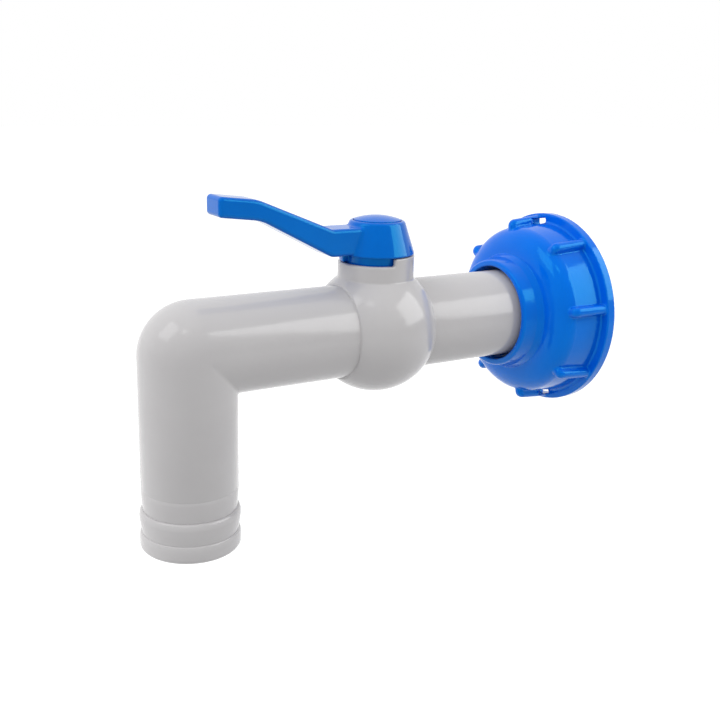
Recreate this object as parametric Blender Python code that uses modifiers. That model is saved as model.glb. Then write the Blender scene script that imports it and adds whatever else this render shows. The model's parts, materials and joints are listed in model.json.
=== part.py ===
"""Plastic ball valve for a container outlet, with a right-angle hose tail and a swivel nut.

The x axis runs along the pipe towards the tank and z is up. The origin is the centre of the nut's open end.
The lever is drawn open, in line with the pipe, and turns a quarter about the stem to close the valve.
"""

import math

import bmesh
import bpy
from mathutils import Matrix, Vector

MM = 0.001

# Values shared by all pieces
CLEARANCE = 0.3 * MM
OVERRUN = 2.0 * MM
PIPE_SIDES = 40
NUT_SIDES = 48
SMALL_SIDES = 24
RING_SIDES = 6
BALL_STEPS = 12
BEND_STEPS = 8
ARC_STEPS = 4
MERGE_DISTANCE = 0.001 * MM
SMOOTH_ANGLE = math.radians(32)
SHARP_EDGE_ANGLE = math.radians(50)
QUARTER_TURN = math.pi / 2

# Pipe
PIPE_RADIUS = 17.65 * MM
PIPE_WALL = 3.3 * MM
PIPE_BORE = PIPE_RADIUS - PIPE_WALL

# Distances from the centre of the ball
BALL_TO_NUT_END = 89.2 * MM
BALL_TO_SPOUT = 77.2 * MM
BALL_TO_SPOUT_END = 74.2 * MM
BALL_CENTRE = Vector((-BALL_TO_NUT_END, 0, 0))

# Ball and the seats that it turns against, each seat in a pocket in the end of a tail
SPIGOT_WALL = 2.45 * MM
POCKET_RADIUS = PIPE_RADIUS - SPIGOT_WALL
SEAT_OUTER = POCKET_RADIUS - CLEARANCE
SEAT_WIDTH = 3.7 * MM
SEAT_BORE = SEAT_OUTER - SEAT_WIDTH
SEAT_BORE_RELIEF = 0.7 * MM
BALL_BORE = SEAT_BORE - SEAT_BORE_RELIEF
BALL_WALL = 6.0 * MM
BALL_RADIUS = BALL_BORE + BALL_WALL
SEAT_CONTACT = BALL_RADIUS + CLEARANCE
SEAT_RIM = (SEAT_BORE + SEAT_OUTER) / 2
SEAT_FRONT = math.sqrt(SEAT_CONTACT ** 2 - SEAT_RIM ** 2)
SEAT_THICKNESS = 4.4 * MM
SEAT_BACK = SEAT_FRONT + SEAT_THICKNESS
SEAT_RING_THICKNESS = 1.8 * MM
POCKET_FLOOR = SEAT_BACK + SEAT_RING_THICKNESS + 2 * CLEARANCE
SEAT_STANDOUT = 1.9 * MM
SPIGOT_START = SEAT_FRONT + SEAT_STANDOUT
WEB_THICKNESS = 3.0 * MM
WEB_TAPER = 3.0 * MM
SLOT_WIDTH = 5.2 * MM
SLOT_DEPTH = 3.1 * MM

# Housing
CHAMBER_RADIUS = BALL_RADIUS + 2 * CLEARANCE
HOUSING_WALL = 7.6 * MM
HOUSING_RADIUS = CHAMBER_RADIUS + HOUSING_WALL
SOCKET_RADIUS = PIPE_RADIUS + CLEARANCE
HOUSING_LIP = 0.4 * MM
HOUSING_HALF_LENGTH = math.sqrt(HOUSING_RADIUS ** 2 - (SOCKET_RADIUS + HOUSING_LIP) ** 2)

# Stem; heights in the groups down to the cap are measured up from the ball's centre
STEM_BORE = 6.2 * MM
STEM_RADIUS = STEM_BORE - CLEARANCE
STEM_FLANGE_LIP = 0.8 * MM
STEM_FLANGE_RADIUS = STEM_BORE + STEM_FLANGE_LIP
STEM_FLANGE_THICKNESS = 1.8 * MM
STEM_FLANGE_BOTTOM = BALL_RADIUS + CLEARANCE
STEM_FLANGE_TOP = STEM_FLANGE_BOTTOM + STEM_FLANGE_THICKNESS
STEM_WASHER_THICKNESS = 0.6 * MM
STEM_RECESS_TOP = STEM_FLANGE_TOP + STEM_WASHER_THICKNESS + 2 * CLEARANCE
STEM_RING_THICKNESS = 1.5 * MM
GROOVE_SIDE_PLAY = 0.2 * MM
GROOVE_WIDTH = STEM_RING_THICKNESS + 2 * GROOVE_SIDE_PLAY
GROOVE_RADIUS = STEM_BORE - STEM_RING_THICKNESS - 2 * CLEARANCE
STEM_LAND = 0.58 * MM
LOWER_GROOVE = STEM_RECESS_TOP + STEM_LAND
UPPER_GROOVE = LOWER_GROOVE + GROOVE_WIDTH + STEM_LAND
DRIVE_INSET = 0.24 * MM
DRIVE_SIZE = (STEM_RADIUS - DRIVE_INSET) * math.sqrt(2)
TONGUE_SETBACK = 1.5 * MM
TONGUE_LENGTH = 2 * (STEM_FLANGE_RADIUS - TONGUE_SETBACK)
TONGUE_DEPTH = SLOT_DEPTH - CLEARANCE

# Neck, its rim and the cup inside the rim
CUP_FLOOR = UPPER_GROOVE + GROOVE_WIDTH + STEM_LAND
CUP_RADIUS = 12.2 * MM
CUP_DEPTH = 3.66 * MM
NECK_WALL = 2.44 * MM
NECK_RADIUS = CUP_RADIUS + NECK_WALL
NECK_TOP = CUP_FLOOR + CUP_DEPTH
NECK_EDGE = 0.5 * MM
RIM_STEP = 2.8 * MM
LOW_RIM = NECK_TOP - RIM_STEP
STOP_ANGLE = math.radians(268.2)
LEVER_TURN = math.radians(90)

# Lever hub
HUB_BOTTOM = NECK_TOP + CLEARANCE
HUB_BOTTOM_RADIUS = NECK_RADIUS
HUB_RIM = 0.4 * MM
HUB_HEIGHT = 11.3 * MM
HUB_SHOULDER = HUB_BOTTOM + HUB_HEIGHT
HUB_TAPER = 3.94 * MM
HUB_SHOULDER_RADIUS = HUB_BOTTOM_RADIUS - HUB_TAPER
HUB_ROUNDING = 1.2 * MM
HUB_TOP = HUB_SHOULDER + HUB_ROUNDING
HUB_LIP = 1.55 * MM
CAP_RECESS_RADIUS = HUB_SHOULDER_RADIUS - HUB_LIP
CAP_RECESS_DEPTH = 0.8 * MM
CAP_SEAT = HUB_TOP - CAP_RECESS_DEPTH
CAP_RADIUS = CAP_RECESS_RADIUS - CLEARANCE
CAP_LEDGE = 0.95 * MM
SCREW_POCKET_RADIUS = CAP_RADIUS - CAP_LEDGE
SCREW_POCKET_DEPTH = 3.8 * MM
SCREW_POCKET_FLOOR = CAP_SEAT - SCREW_POCKET_DEPTH
HUB_FLOOR_THICKNESS = 2.2 * MM
CORE_TOP = SCREW_POCKET_FLOOR - HUB_FLOOR_THICKNESS
COLLAR_PLAY = 0.45 * MM
COLLAR_RADIUS = CUP_RADIUS - COLLAR_PLAY
COLLAR_BOTTOM = CUP_FLOOR + CLEARANCE
COLLAR_WALL = 1.8 * MM
DRIVE_HOLE_SIZE = DRIVE_SIZE + 2 * CLEARANCE
BOSS_WALL = 1.9 * MM
BOSS_RADIUS = DRIVE_HOLE_SIZE / math.sqrt(2) + BOSS_WALL
DRIVE_RECESS = 0.6 * MM
DRIVE_TOP = SCREW_POCKET_FLOOR - DRIVE_RECESS

# Lug under the hub, which runs in the low part of the rim
LUG_SPAN = math.radians(50)
LUG_SETBACK = 0.44 * MM
LUG_RADIUS = NECK_RADIUS - LUG_SETBACK
LUG_BOTTOM = LOW_RIM + CLEARANCE
STOP_PLAY = CLEARANCE / LUG_RADIUS

# Lever arm, as a side view: distances out from the stem's axis, and heights
ARM_WIDTH = 12.2 * MM
ARM_EDGE = 1.6 * MM
ARM_REACH = 67.1 * MM
ARM_ROOT_RAISE = 0.4 * MM
ARM_ROOT_BOTTOM = HUB_BOTTOM + ARM_ROOT_RAISE
ARM_ROOT_HEIGHT = 10.2 * MM
ARM_ROOT_TOP = ARM_ROOT_BOTTOM + ARM_ROOT_HEIGHT
ARM_RISE = 16.6 * MM
ARM_TIP_BOTTOM = ARM_ROOT_BOTTOM + ARM_RISE
ARM_TIP_HEIGHT = 7.3 * MM
ARM_TIP_TOP = ARM_TIP_BOTTOM + ARM_TIP_HEIGHT
ARM_TOP_LEVEL = 7.5 * MM
ARM_TOP_HEEL = HUB_BOTTOM_RADIUS + ARM_TOP_LEVEL
ARM_BOTTOM_LEVEL = 7.6 * MM
ARM_BOTTOM_HEEL = HUB_BOTTOM_RADIUS + ARM_BOTTOM_LEVEL
ARM_TOP_TIP_LENGTH = 14.8 * MM
ARM_TOP_KNEE = ARM_REACH - ARM_TOP_TIP_LENGTH
ARM_TOP_KNEE_DROP = 1.65 * MM
ARM_BOTTOM_TIP_LENGTH = 16.3 * MM
ARM_BOTTOM_KNEE = ARM_REACH - ARM_BOTTOM_TIP_LENGTH
ARM_BOTTOM_KNEE_DROP = 1.9 * MM
ARM_KNEE_BEND = 16.0 * MM
ARM_HEEL_BEND = 5.0 * MM

# Cap, screw and washer in the hub
CAP_STANDOUT = 0.3 * MM
CAP_EDGE = HUB_TOP + CAP_STANDOUT
CAP_RISE = 1.5 * MM
CAP_CROWN = CAP_EDGE + CAP_RISE
CAP_THICKNESS = 1.6 * MM
CAP_PLUG_RADIUS = SCREW_POCKET_RADIUS - CLEARANCE
CAP_PLUG_WALL = 1.2 * MM
CAP_PLUG_LENGTH = 2.4 * MM
SCREW_WASHER_THICKNESS = 1.0 * MM
SCREW_SEAT = SCREW_POCKET_FLOOR + SCREW_WASHER_THICKNESS + 2 * CLEARANCE
SCREW_RADIUS = 2.5 * MM
SCREW_LENGTH = 12.0 * MM
SCREW_HEAD_RADIUS = 4.4 * MM
SCREW_HEAD_HEIGHT = 2.6 * MM
SCREW_HEAD_EDGE = 0.8 * MM
SCREW_WASHER_RIM = 0.8 * MM
SCREW_WASHER_RADIUS = SCREW_HEAD_RADIUS + SCREW_WASHER_RIM
SCREW_RECESS_LENGTH = 4.6 * MM
SCREW_RECESS_WIDTH = 1.1 * MM
SCREW_RECESS_DEPTH = 1.7 * MM

# Elbow and hose tail
BEND_RADIUS = 2.2 * MM
BARB_RISE = 0.8 * MM
BARB_CREST = PIPE_RADIUS + BARB_RISE
BARB_TAPER = 0.75 * MM
BARB_FOOT = BARB_CREST - BARB_TAPER
BARB_HEIGHT = 8.5 * MM
BARB_SHOULDER = 2.6 * MM
LAST_BARB_HEIGHT = 6.9 * MM
WAIST_DEPTH = 0.45 * MM
WAIST_RADIUS = PIPE_RADIUS - WAIST_DEPTH
WAIST_LENGTH = 6.5 * MM
SPOUT_LIP = 2.1 * MM
SHOULDER_HEIGHT_SHARES = (0.0, 0.12, 0.42, 1.0)
SHOULDER_STEP_SHARES = (0.0, 0.55, 0.88, 1.0)

# Swivel nut: radii from the thread outwards, lengths forward from the open end
NUT_THREAD_ROOT = 30.2 * MM
NUT_SKIRT_WALL = 4.7 * MM
NUT_SKIRT_RADIUS = NUT_THREAD_ROOT + NUT_SKIRT_WALL
NUT_FLANGE_HEIGHT = 5.1 * MM
NUT_FLANGE_RADIUS = NUT_SKIRT_RADIUS + NUT_FLANGE_HEIGHT
NUT_FLANGE_THICKNESS = 2.9 * MM
NUT_FLANGE_EDGE = 0.5 * MM
NUT_SKIRT_FILLET = 0.8 * MM
NUT_MOUTH_CHAMFER = 1.0 * MM
NUT_PIPE_PLAY = 1.85 * MM
NUT_COLLAR_BORE = PIPE_RADIUS + NUT_PIPE_PLAY
NUT_COLLAR_WALL = 2.4 * MM
NUT_COLLAR_RADIUS = NUT_COLLAR_BORE + NUT_COLLAR_WALL
NUT_COLLAR_DRAFT = 1.0 * MM
NUT_COLLAR_FLARE = NUT_COLLAR_RADIUS + NUT_COLLAR_DRAFT
DOME_SHOULDER = 1.3 * MM
DOME_FRONT_RADIUS = NUT_COLLAR_FLARE + DOME_SHOULDER
DOME_START = 15.2 * MM
DOME_LENGTH = 8.0 * MM
DOME_END = DOME_START + DOME_LENGTH
DOME_STEPS = 7
NUT_FRONT_WALL_THICKNESS = 4.5 * MM
NUT_FRONT_WALL = DOME_END - NUT_FRONT_WALL_THICKNESS
NUT_FLARE_LENGTH = 2.6 * MM
NUT_COLLAR_LENGTH = 8.5 * MM
NUT_LENGTH = DOME_END + NUT_COLLAR_LENGTH
NUT_COLLAR_EDGE = 1.1 * MM
NUT_BORE_CHAMFER = 0.6 * MM

# Ribs on the nut and the two holes for a seal wire
RIB_COUNT = 8
RIB_FIRST_ANGLE = math.radians(10)
RIB_WIDTH = 4.2 * MM
RIB_EDGE = 0.9 * MM
RIB_INSET = 0.6 * MM
RIB_BACK_RADIUS = NUT_FLANGE_RADIUS - RIB_INSET
RIB_TAPER = 1.5 * MM
RIB_FRONT_RADIUS = RIB_BACK_RADIUS - RIB_TAPER
RIB_FRONT_SETBACK = 4.0 * MM
RIB_FRONT = DOME_END - RIB_FRONT_SETBACK
RIB_NOSE = 3.0 * MM
RIB_ROOT_COVER = 0.8 * MM
SEAL_HOLE_RIBS = (2, 6)
SEAL_HOLE_SIDE = 1.65 * MM
SEAL_HOLE_WIDTH = RIB_WIDTH + 2 * SEAL_HOLE_SIDE
SEAL_HOLE_SHIFT = 1.2 * MM
SEAL_HOLE_FLOOR = 0.6 * MM
SEAL_HOLE_HEIGHT = 2.3 * MM
SEAL_HOLE_REACH = 5.5 * MM
SEAL_HOLE_LENGTH = NUT_FLANGE_THICKNESS + SEAL_HOLE_REACH

# Flange of the inlet tail and the gasket on it
THREAD_HEIGHT = 2.0 * MM
TAIL_FLANGE_PLAY = 0.9 * MM
TAIL_FLANGE_RADIUS = NUT_THREAD_ROOT - THREAD_HEIGHT - TAIL_FLANGE_PLAY
TAIL_FLANGE_THICKNESS = 3.5 * MM
TAIL_FLANGE_EDGE = 0.5 * MM
TAIL_FLANGE_FRONT = NUT_FRONT_WALL - CLEARANCE
TAIL_FACE = TAIL_FLANGE_FRONT - TAIL_FLANGE_THICKNESS
GASKET_THICKNESS = 2.5 * MM
GASKET_OUTER = TAIL_FLANGE_RADIUS - CLEARANCE
GASKET_SETBACK = 3.65 * MM
GASKET_INNER = PIPE_BORE + GASKET_SETBACK

# Finishes: colour, roughness, metallic
GREY_PLASTIC = ((0.47, 0.47, 0.48, 1), 0.35, 0)
BLUE_PLASTIC = ((0.0, 0.16, 0.68, 1), 0.28, 0)
SEAT_WHITE = ((0.85, 0.85, 0.82, 1), 0.4, 0)
BALL_GREY = ((0.6, 0.6, 0.6, 1), 0.2, 0)
BLACK_RUBBER = ((0.02, 0.02, 0.02, 1), 0.6, 0)
STEEL = ((0.6, 0.6, 0.62, 1), 0.3, 1)

PARTS = "container_valve"
CUTTERS = "cutters"


def clear_scene():
    for obj in list(bpy.data.objects):
        bpy.data.objects.remove(obj)
    for name in (PARTS, CUTTERS):
        collection = bpy.data.collections.new(name)
        bpy.context.scene.collection.children.link(collection)


def material(name, finish):
    colour, roughness, metallic = finish
    made = bpy.data.materials.new(name)
    made.use_nodes = True
    shader = made.node_tree.nodes["Principled BSDF"]
    shader.inputs["Base Color"].default_value = colour
    shader.inputs["Roughness"].default_value = roughness
    shader.inputs["Metallic"].default_value = metallic
    made.diffuse_color = colour
    return made


def add_object(name, mesh, collection):
    obj = bpy.data.objects.new(name, mesh)
    bpy.data.collections[collection].objects.link(obj)
    return obj


def place_cutter(obj):
    obj.hide_render = True
    obj.display_type = "WIRE"
    return obj


def baked_mesh(obj, name):
    """The mesh that an object's modifiers give, welded, with the object itself removed."""
    bpy.context.view_layer.update()
    evaluated = obj.evaluated_get(bpy.context.evaluated_depsgraph_get())
    mesh = bpy.data.meshes.new_from_object(evaluated)
    mesh.name = name
    mesh.transform(obj.matrix_world)
    bpy.data.objects.remove(obj)
    work = bmesh.new()
    work.from_mesh(mesh)
    bmesh.ops.remove_doubles(work, verts=work.verts, dist=MERGE_DISTANCE)
    work.to_mesh(mesh)
    work.free()
    return mesh


def arc(centre, radius, start, end, steps=ARC_STEPS):
    """Points of a circular arc in a profile, from one angle to another, both in degrees."""
    points = []
    for step in range(steps + 1):
        angle = math.radians(start + (end - start) * step / steps)
        points.append((centre[0] + radius * math.cos(angle), centre[1] + radius * math.sin(angle)))
    return points


def turned(name, profile, sides, collection, closed=True, sweep=2 * math.pi):
    """A solid turned about z from (radius, height) points that run down the outer side."""
    count = len(profile)
    links = [(i, i + 1) for i in range(count - 1)]
    if closed:
        links.append((count - 1, 0))
    mesh = bpy.data.meshes.new(name)
    mesh.from_pydata([(radius, 0, height) for radius, height in profile], links, [])
    obj = add_object(name, mesh, collection)
    screw = obj.modifiers.new("Turn", "SCREW")
    screw.angle = sweep
    screw.steps = sides
    screw.render_steps = sides
    screw.use_merge_vertices = True
    screw.merge_threshold = MERGE_DISTANCE
    screw.use_smooth_shade = True
    return obj


def along_x(obj, place):
    """Lays a solid that was turned about z along x, its top towards the tank."""
    obj.rotation_euler = (0, QUARTER_TURN, 0)
    obj.location = place
    return obj


def block(name, size, centre, collection):
    bpy.ops.mesh.primitive_cube_add(size=1)
    obj = bpy.context.object
    for old in list(obj.users_collection):
        old.objects.unlink(obj)
    bpy.data.collections[collection].objects.link(obj)
    obj.name = name
    obj.data.transform(Matrix.Diagonal((*size, 1)))
    obj.location = centre
    return obj


def boolean(obj, operand, operation):
    step = obj.modifiers.new(operation.title(), "BOOLEAN")
    step.operation = operation
    step.solver = "EXACT"
    step.object = place_cutter(operand)


def bevel(obj, width, segments):
    step = obj.modifiers.new("Rounded edges", "BEVEL")
    step.width = width
    step.segments = segments
    step.limit_method = "ANGLE"
    step.angle_limit = SHARP_EDGE_ANGLE
    step.use_clamp_overlap = True


def finish(obj, made):
    obj.data.materials.clear()
    obj.data.materials.append(made)
    obj.data.shade_smooth()
    obj.data.set_sharp_from_angle(angle=SMOOTH_ANGLE)
    return obj


def rounded_outline(corners):
    """Points of a closed outline. Corners are (x, y, bend radius) and stay sharp where the radius is zero."""
    points = []
    count = len(corners)
    for index, (x, y, radius) in enumerate(corners):
        corner = Vector((x, y))
        if radius == 0:
            points.append(corner)
            continue
        back = (Vector(corners[index - 1][:2]) - corner).normalized()
        ahead = (Vector(corners[(index + 1) % count][:2]) - corner).normalized()
        half = back.angle(ahead) / 2
        middle = corner + (back + ahead).normalized() * radius / math.sin(half)
        start = (corner + back * radius / math.tan(half) - middle).normalized()
        end = (corner + ahead * radius / math.tan(half) - middle).normalized()
        for step in range(ARC_STEPS + 1):
            points.append(middle + start.slerp(end, step / ARC_STEPS) * radius)
    return points


def plate(name, outline, thickness, collection):
    """A flat outline in the x-z plane, given thickness equally to both sides of it."""
    mesh = bpy.data.meshes.new(name)
    mesh.from_pydata([(x, 0, z) for x, z in outline], [], [range(len(outline))])
    obj = add_object(name, mesh, collection)
    step = obj.modifiers.new("Thickness", "SOLIDIFY")
    step.thickness = thickness
    step.offset = 0
    return obj


def spherical_arc(radius, start, end, steps):
    """Profile points on a sphere about the origin, between two heights."""
    first = math.asin(start / radius)
    last = math.asin(end / radius)
    points = []
    for step in range(steps + 1):
        angle = first + (last - first) * step / steps
        points.append((radius * math.cos(angle), radius * math.sin(angle)))
    return points


def make_housing(made):
    """Spherical housing with its neck, bored through so that ball and seats go in from the ends."""
    sphere = spherical_arc(HOUSING_RADIUS, HOUSING_HALF_LENGTH, -HOUSING_HALF_LENGTH, BALL_STEPS)
    profile = [(0, HOUSING_HALF_LENGTH)] + sphere + [(0, -HOUSING_HALF_LENGTH)]
    housing = along_x(turned("valve_housing", profile, PIPE_SIDES, PARTS, closed=False), BALL_CENTRE)

    inside = CHAMBER_RADIUS - OVERRUN
    neck_profile = [(0, NECK_TOP)]
    neck_profile += arc((NECK_RADIUS - NECK_EDGE, NECK_TOP - NECK_EDGE), NECK_EDGE, 90, 0, 2)
    neck_profile += [(NECK_RADIUS, inside), (0, inside)]
    neck = turned("neck", neck_profile, PIPE_SIDES, CUTTERS, closed=False)
    neck.location = BALL_CENTRE
    boolean(housing, neck, "UNION")

    outside = HOUSING_HALF_LENGTH + OVERRUN
    shoulder = SPIGOT_START - CLEARANCE
    bore_profile = [
        (0, outside), (SOCKET_RADIUS, outside), (SOCKET_RADIUS, shoulder), (CHAMBER_RADIUS, shoulder),
        (CHAMBER_RADIUS, -shoulder), (SOCKET_RADIUS, -shoulder), (SOCKET_RADIUS, -outside), (0, -outside),
    ]
    bore = along_x(turned("through_bore", bore_profile, PIPE_SIDES, CUTTERS, closed=False), BALL_CENTRE)
    boolean(housing, bore, "DIFFERENCE")

    recess = STEM_FLANGE_RADIUS + CLEARANCE
    stem_profile = [
        (0, NECK_TOP + OVERRUN), (CUP_RADIUS, NECK_TOP + OVERRUN), (CUP_RADIUS, CUP_FLOOR),
        (STEM_BORE, CUP_FLOOR), (STEM_BORE, STEM_RECESS_TOP), (recess, STEM_RECESS_TOP),
        (recess, inside), (0, inside),
    ]
    stem_cut = turned("stem_passage", stem_profile, PIPE_SIDES, CUTTERS, closed=False)
    stem_cut.location = BALL_CENTRE
    boolean(housing, stem_cut, "DIFFERENCE")

    notch_profile = [
        (NECK_RADIUS + OVERRUN, NECK_TOP + OVERRUN), (NECK_RADIUS + OVERRUN, LOW_RIM),
        (CUP_RADIUS - OVERRUN, LOW_RIM), (CUP_RADIUS - OVERRUN, NECK_TOP + OVERRUN),
    ]
    back_end = STOP_ANGLE - LEVER_TURN - LUG_SPAN - 2 * STOP_PLAY
    notch = sector("rim_notch", notch_profile, back_end, STOP_ANGLE, CUTTERS)
    boolean(housing, notch, "DIFFERENCE")
    return finish(housing, made)


def sector(name, profile, start, end, collection):
    """Part of a turned ring about the stem, between two angles, with its two end faces closed."""
    steps = max(2, round(PIPE_SIDES * (end - start) / (2 * math.pi)))
    obj = turned(name, profile, steps, collection, sweep=end - start)
    mesh = baked_mesh(obj, name)
    work = bmesh.new()
    work.from_mesh(mesh)
    bmesh.ops.holes_fill(work, edges=[edge for edge in work.edges if edge.is_boundary])
    bmesh.ops.recalc_face_normals(work, faces=work.faces)
    work.to_mesh(mesh)
    work.free()
    obj = add_object(name, mesh, collection)
    obj.location = BALL_CENTRE
    obj.rotation_euler = (0, 0, start)
    return obj


def spigot_bore():
    """Inside of a tail, from its end in the housing outwards: seat pocket, web, taper to the pipe's bore."""
    web_end = POCKET_FLOOR + WEB_THICKNESS
    return [
        (POCKET_RADIUS, SPIGOT_START), (POCKET_RADIUS, POCKET_FLOOR), (SEAT_BORE, POCKET_FLOOR),
        (SEAT_BORE, web_end), (PIPE_BORE, web_end + WEB_TAPER),
    ]


def ring_angles():
    return [2 * math.pi * side / PIPE_SIDES for side in range(PIPE_SIDES)]


def run_ring(radius, distance):
    """Ring of the level pipe, at a distance from the ball's centre."""
    x = BALL_CENTRE.x - distance
    return [(x, radius * math.sin(angle), radius * math.cos(angle)) for angle in ring_angles()]


def drop_ring(radius, depth):
    """Ring of the spout, at a depth below the ball's centre."""
    x = BALL_CENTRE.x - BALL_TO_SPOUT
    return [(x - radius * math.cos(angle), radius * math.sin(angle), -depth) for angle in ring_angles()]


def bend_ring(radius, turn):
    """Ring part of the way round the bend. Inside the bend's centre the two pipes meet in a mitre."""
    centre_x = BALL_CENTRE.x - BALL_TO_SPOUT + BEND_RADIUS
    points = []
    for angle in ring_angles():
        reach = BEND_RADIUS + radius * math.cos(angle)
        across, up = reach * math.sin(turn), reach * math.cos(turn)
        if reach < 0:
            across, up = reach, reach
        points.append((centre_x - across, radius * math.sin(angle), up - BEND_RADIUS))
    return points


def barb(top, height, crest, foot, above):
    """Outer profile of one barb as (radius, depth): a rounded shoulder and a straight taper to its foot."""
    points = []
    for drop, step in zip(SHOULDER_HEIGHT_SHARES, SHOULDER_STEP_SHARES):
        points.append((above + (crest - above) * step, top + BARB_SHOULDER * drop))
    points.append((foot, top + height))
    return points


def make_elbow(made):
    """Hose tail with a sharp inner corner, a rounded outer one and two barbs, as one skin of rings."""
    last_top = BALL_TO_SPOUT_END - LAST_BARB_HEIGHT
    first_top = last_top - BARB_HEIGHT
    outside = [(PIPE_RADIUS, first_top - WAIST_LENGTH)]
    outside += barb(first_top, BARB_HEIGHT, BARB_CREST, BARB_FOOT, WAIST_RADIUS)
    last = barb(last_top, LAST_BARB_HEIGHT - SPOUT_LIP, BARB_CREST, BARB_CREST, BARB_FOOT)[1:]
    lip = arc((BARB_CREST - SPOUT_LIP, SPOUT_LIP - BALL_TO_SPOUT_END), SPOUT_LIP, 0, -90, 3)
    outside += last + [(radius, -height) for radius, height in lip[1:]]

    turns = [QUARTER_TURN * step / BEND_STEPS for step in range(BEND_STEPS + 1)]
    rings = [run_ring(PIPE_RADIUS, SPIGOT_START)]
    rings += [bend_ring(PIPE_RADIUS, turn) for turn in turns]
    rings += [drop_ring(radius, depth) for radius, depth in outside]
    rings += [drop_ring(PIPE_BORE, BALL_TO_SPOUT_END)]
    rings += [bend_ring(PIPE_BORE, turn) for turn in reversed(turns)]
    rings += [run_ring(radius, distance) for radius, distance in reversed(spigot_bore())]

    work = bmesh.new()
    loops = [[work.verts.new(point) for point in ring] for ring in rings]
    for loop, following in zip(loops, loops[1:] + loops[:1]):
        for side in range(PIPE_SIDES):
            after = (side + 1) % PIPE_SIDES
            work.faces.new((loop[side], following[side], following[after], loop[after]))
    bmesh.ops.remove_doubles(work, verts=work.verts, dist=MERGE_DISTANCE)
    bmesh.ops.recalc_face_normals(work, faces=work.faces)
    mesh = bpy.data.meshes.new("elbow_spout")
    work.to_mesh(mesh)
    work.free()
    return finish(add_object("elbow_spout", mesh, PARTS), made)


def make_tail(made):
    """Inlet tail: a straight pipe with the flange that the nut pulls against the tank."""
    face = BALL_TO_NUT_END - TAIL_FACE
    front = BALL_TO_NUT_END - TAIL_FLANGE_FRONT
    edge = TAIL_FLANGE_RADIUS - TAIL_FLANGE_EDGE
    profile = [
        (edge, face), (TAIL_FLANGE_RADIUS, face - TAIL_FLANGE_EDGE), (TAIL_FLANGE_RADIUS, front),
        (PIPE_RADIUS, front), (PIPE_RADIUS, SPIGOT_START),
    ]
    profile += spigot_bore() + [(PIPE_BORE, face)]
    tail = along_x(turned("inlet_tail", profile, PIPE_SIDES, PARTS), BALL_CENTRE)
    return finish(tail, made)


def nut_profile():
    """Outline of the nut as (radius, x), from the open end forward over the outside and back inside."""
    radius, edge = NUT_FLANGE_RADIUS, NUT_FLANGE_EDGE
    back = -NUT_FLANGE_THICKNESS
    points = arc((radius - edge, -edge), edge, 90, 0, 2)
    points += arc((radius - edge, back + edge), edge, 0, -90, 2)
    fillet = NUT_SKIRT_FILLET
    points += arc((NUT_SKIRT_RADIUS + fillet, back - fillet), fillet, 90, 180, 2)
    rise = NUT_SKIRT_RADIUS - DOME_FRONT_RADIUS
    for step in range(DOME_STEPS + 1):
        angle = QUARTER_TURN * step / DOME_STEPS
        reach = DOME_FRONT_RADIUS + rise * math.cos(angle)
        points.append((reach, -DOME_START - (DOME_END - DOME_START) * math.sin(angle)))
    points.append((NUT_COLLAR_FLARE, -DOME_END - NUT_FLARE_LENGTH))
    nose = (NUT_COLLAR_RADIUS - NUT_COLLAR_EDGE, NUT_COLLAR_EDGE - NUT_LENGTH)
    points += arc(nose, NUT_COLLAR_EDGE, 0, -90, 3)
    points += [
        (NUT_COLLAR_BORE + NUT_BORE_CHAMFER, -NUT_LENGTH), (NUT_COLLAR_BORE, NUT_BORE_CHAMFER - NUT_LENGTH),
        (NUT_COLLAR_BORE, -NUT_FRONT_WALL), (NUT_THREAD_ROOT, -NUT_FRONT_WALL),
        (NUT_THREAD_ROOT, -NUT_MOUTH_CHAMFER), (NUT_THREAD_ROOT + NUT_MOUTH_CHAMFER, 0),
    ]
    return points


def rib_turn(index):
    """Rotation about x that brings a rib from the top to its place, counted from the front (-y) upwards."""
    angle = RIB_FIRST_ANGLE + 2 * math.pi * index / RIB_COUNT
    return Matrix.Rotation(QUARTER_TURN - angle, 4, "X")


def joined_copies(name, mesh, turns, collection):
    """One object holding turned copies of a mesh."""
    work = bmesh.new()
    for turn in turns:
        before = set(work.verts)
        work.from_mesh(mesh)
        added = [vert for vert in work.verts if vert not in before]
        bmesh.ops.transform(work, matrix=turn, verts=added)
    joined = bpy.data.meshes.new(name)
    work.to_mesh(joined)
    work.free()
    return add_object(name, joined, collection)


def make_nut(made):
    """Swivel nut: collar, dome, skirt and flange in one turning, with grip ribs and two seal-wire holes."""
    nut = along_x(turned("swivel_nut", nut_profile(), NUT_SIDES, PARTS), (0, 0, 0))

    inside = NUT_THREAD_ROOT + RIB_ROOT_COVER
    back = -NUT_FLANGE_THICKNESS / 2
    outline = rounded_outline([
        (back, inside, 0), (back, RIB_BACK_RADIUS, 0),
        (-RIB_FRONT, RIB_FRONT_RADIUS, RIB_NOSE), (-RIB_FRONT, inside, 0),
    ])
    rib = plate("rib", outline, RIB_WIDTH, CUTTERS)
    bevel(rib, RIB_EDGE, 2)
    rib_mesh = baked_mesh(rib, "rib")
    ribs = joined_copies("ribs", rib_mesh, [rib_turn(index) for index in range(RIB_COUNT)], CUTTERS)
    boolean(nut, ribs, "UNION")

    length = SEAL_HOLE_LENGTH + OVERRUN
    height = NUT_SKIRT_RADIUS + SEAL_HOLE_FLOOR + SEAL_HOLE_HEIGHT / 2
    middle = Vector((length / 2 - SEAL_HOLE_LENGTH, -SEAL_HOLE_SHIFT, height))
    hole = block("seal_hole", (length, SEAL_HOLE_WIDTH, SEAL_HOLE_HEIGHT), middle, CUTTERS)
    hole_mesh = baked_mesh(hole, "seal_hole")
    holes = joined_copies("seal_holes", hole_mesh, [rib_turn(index) for index in SEAL_HOLE_RIBS], CUTTERS)
    boolean(nut, holes, "DIFFERENCE")
    return finish(nut, made)


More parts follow.
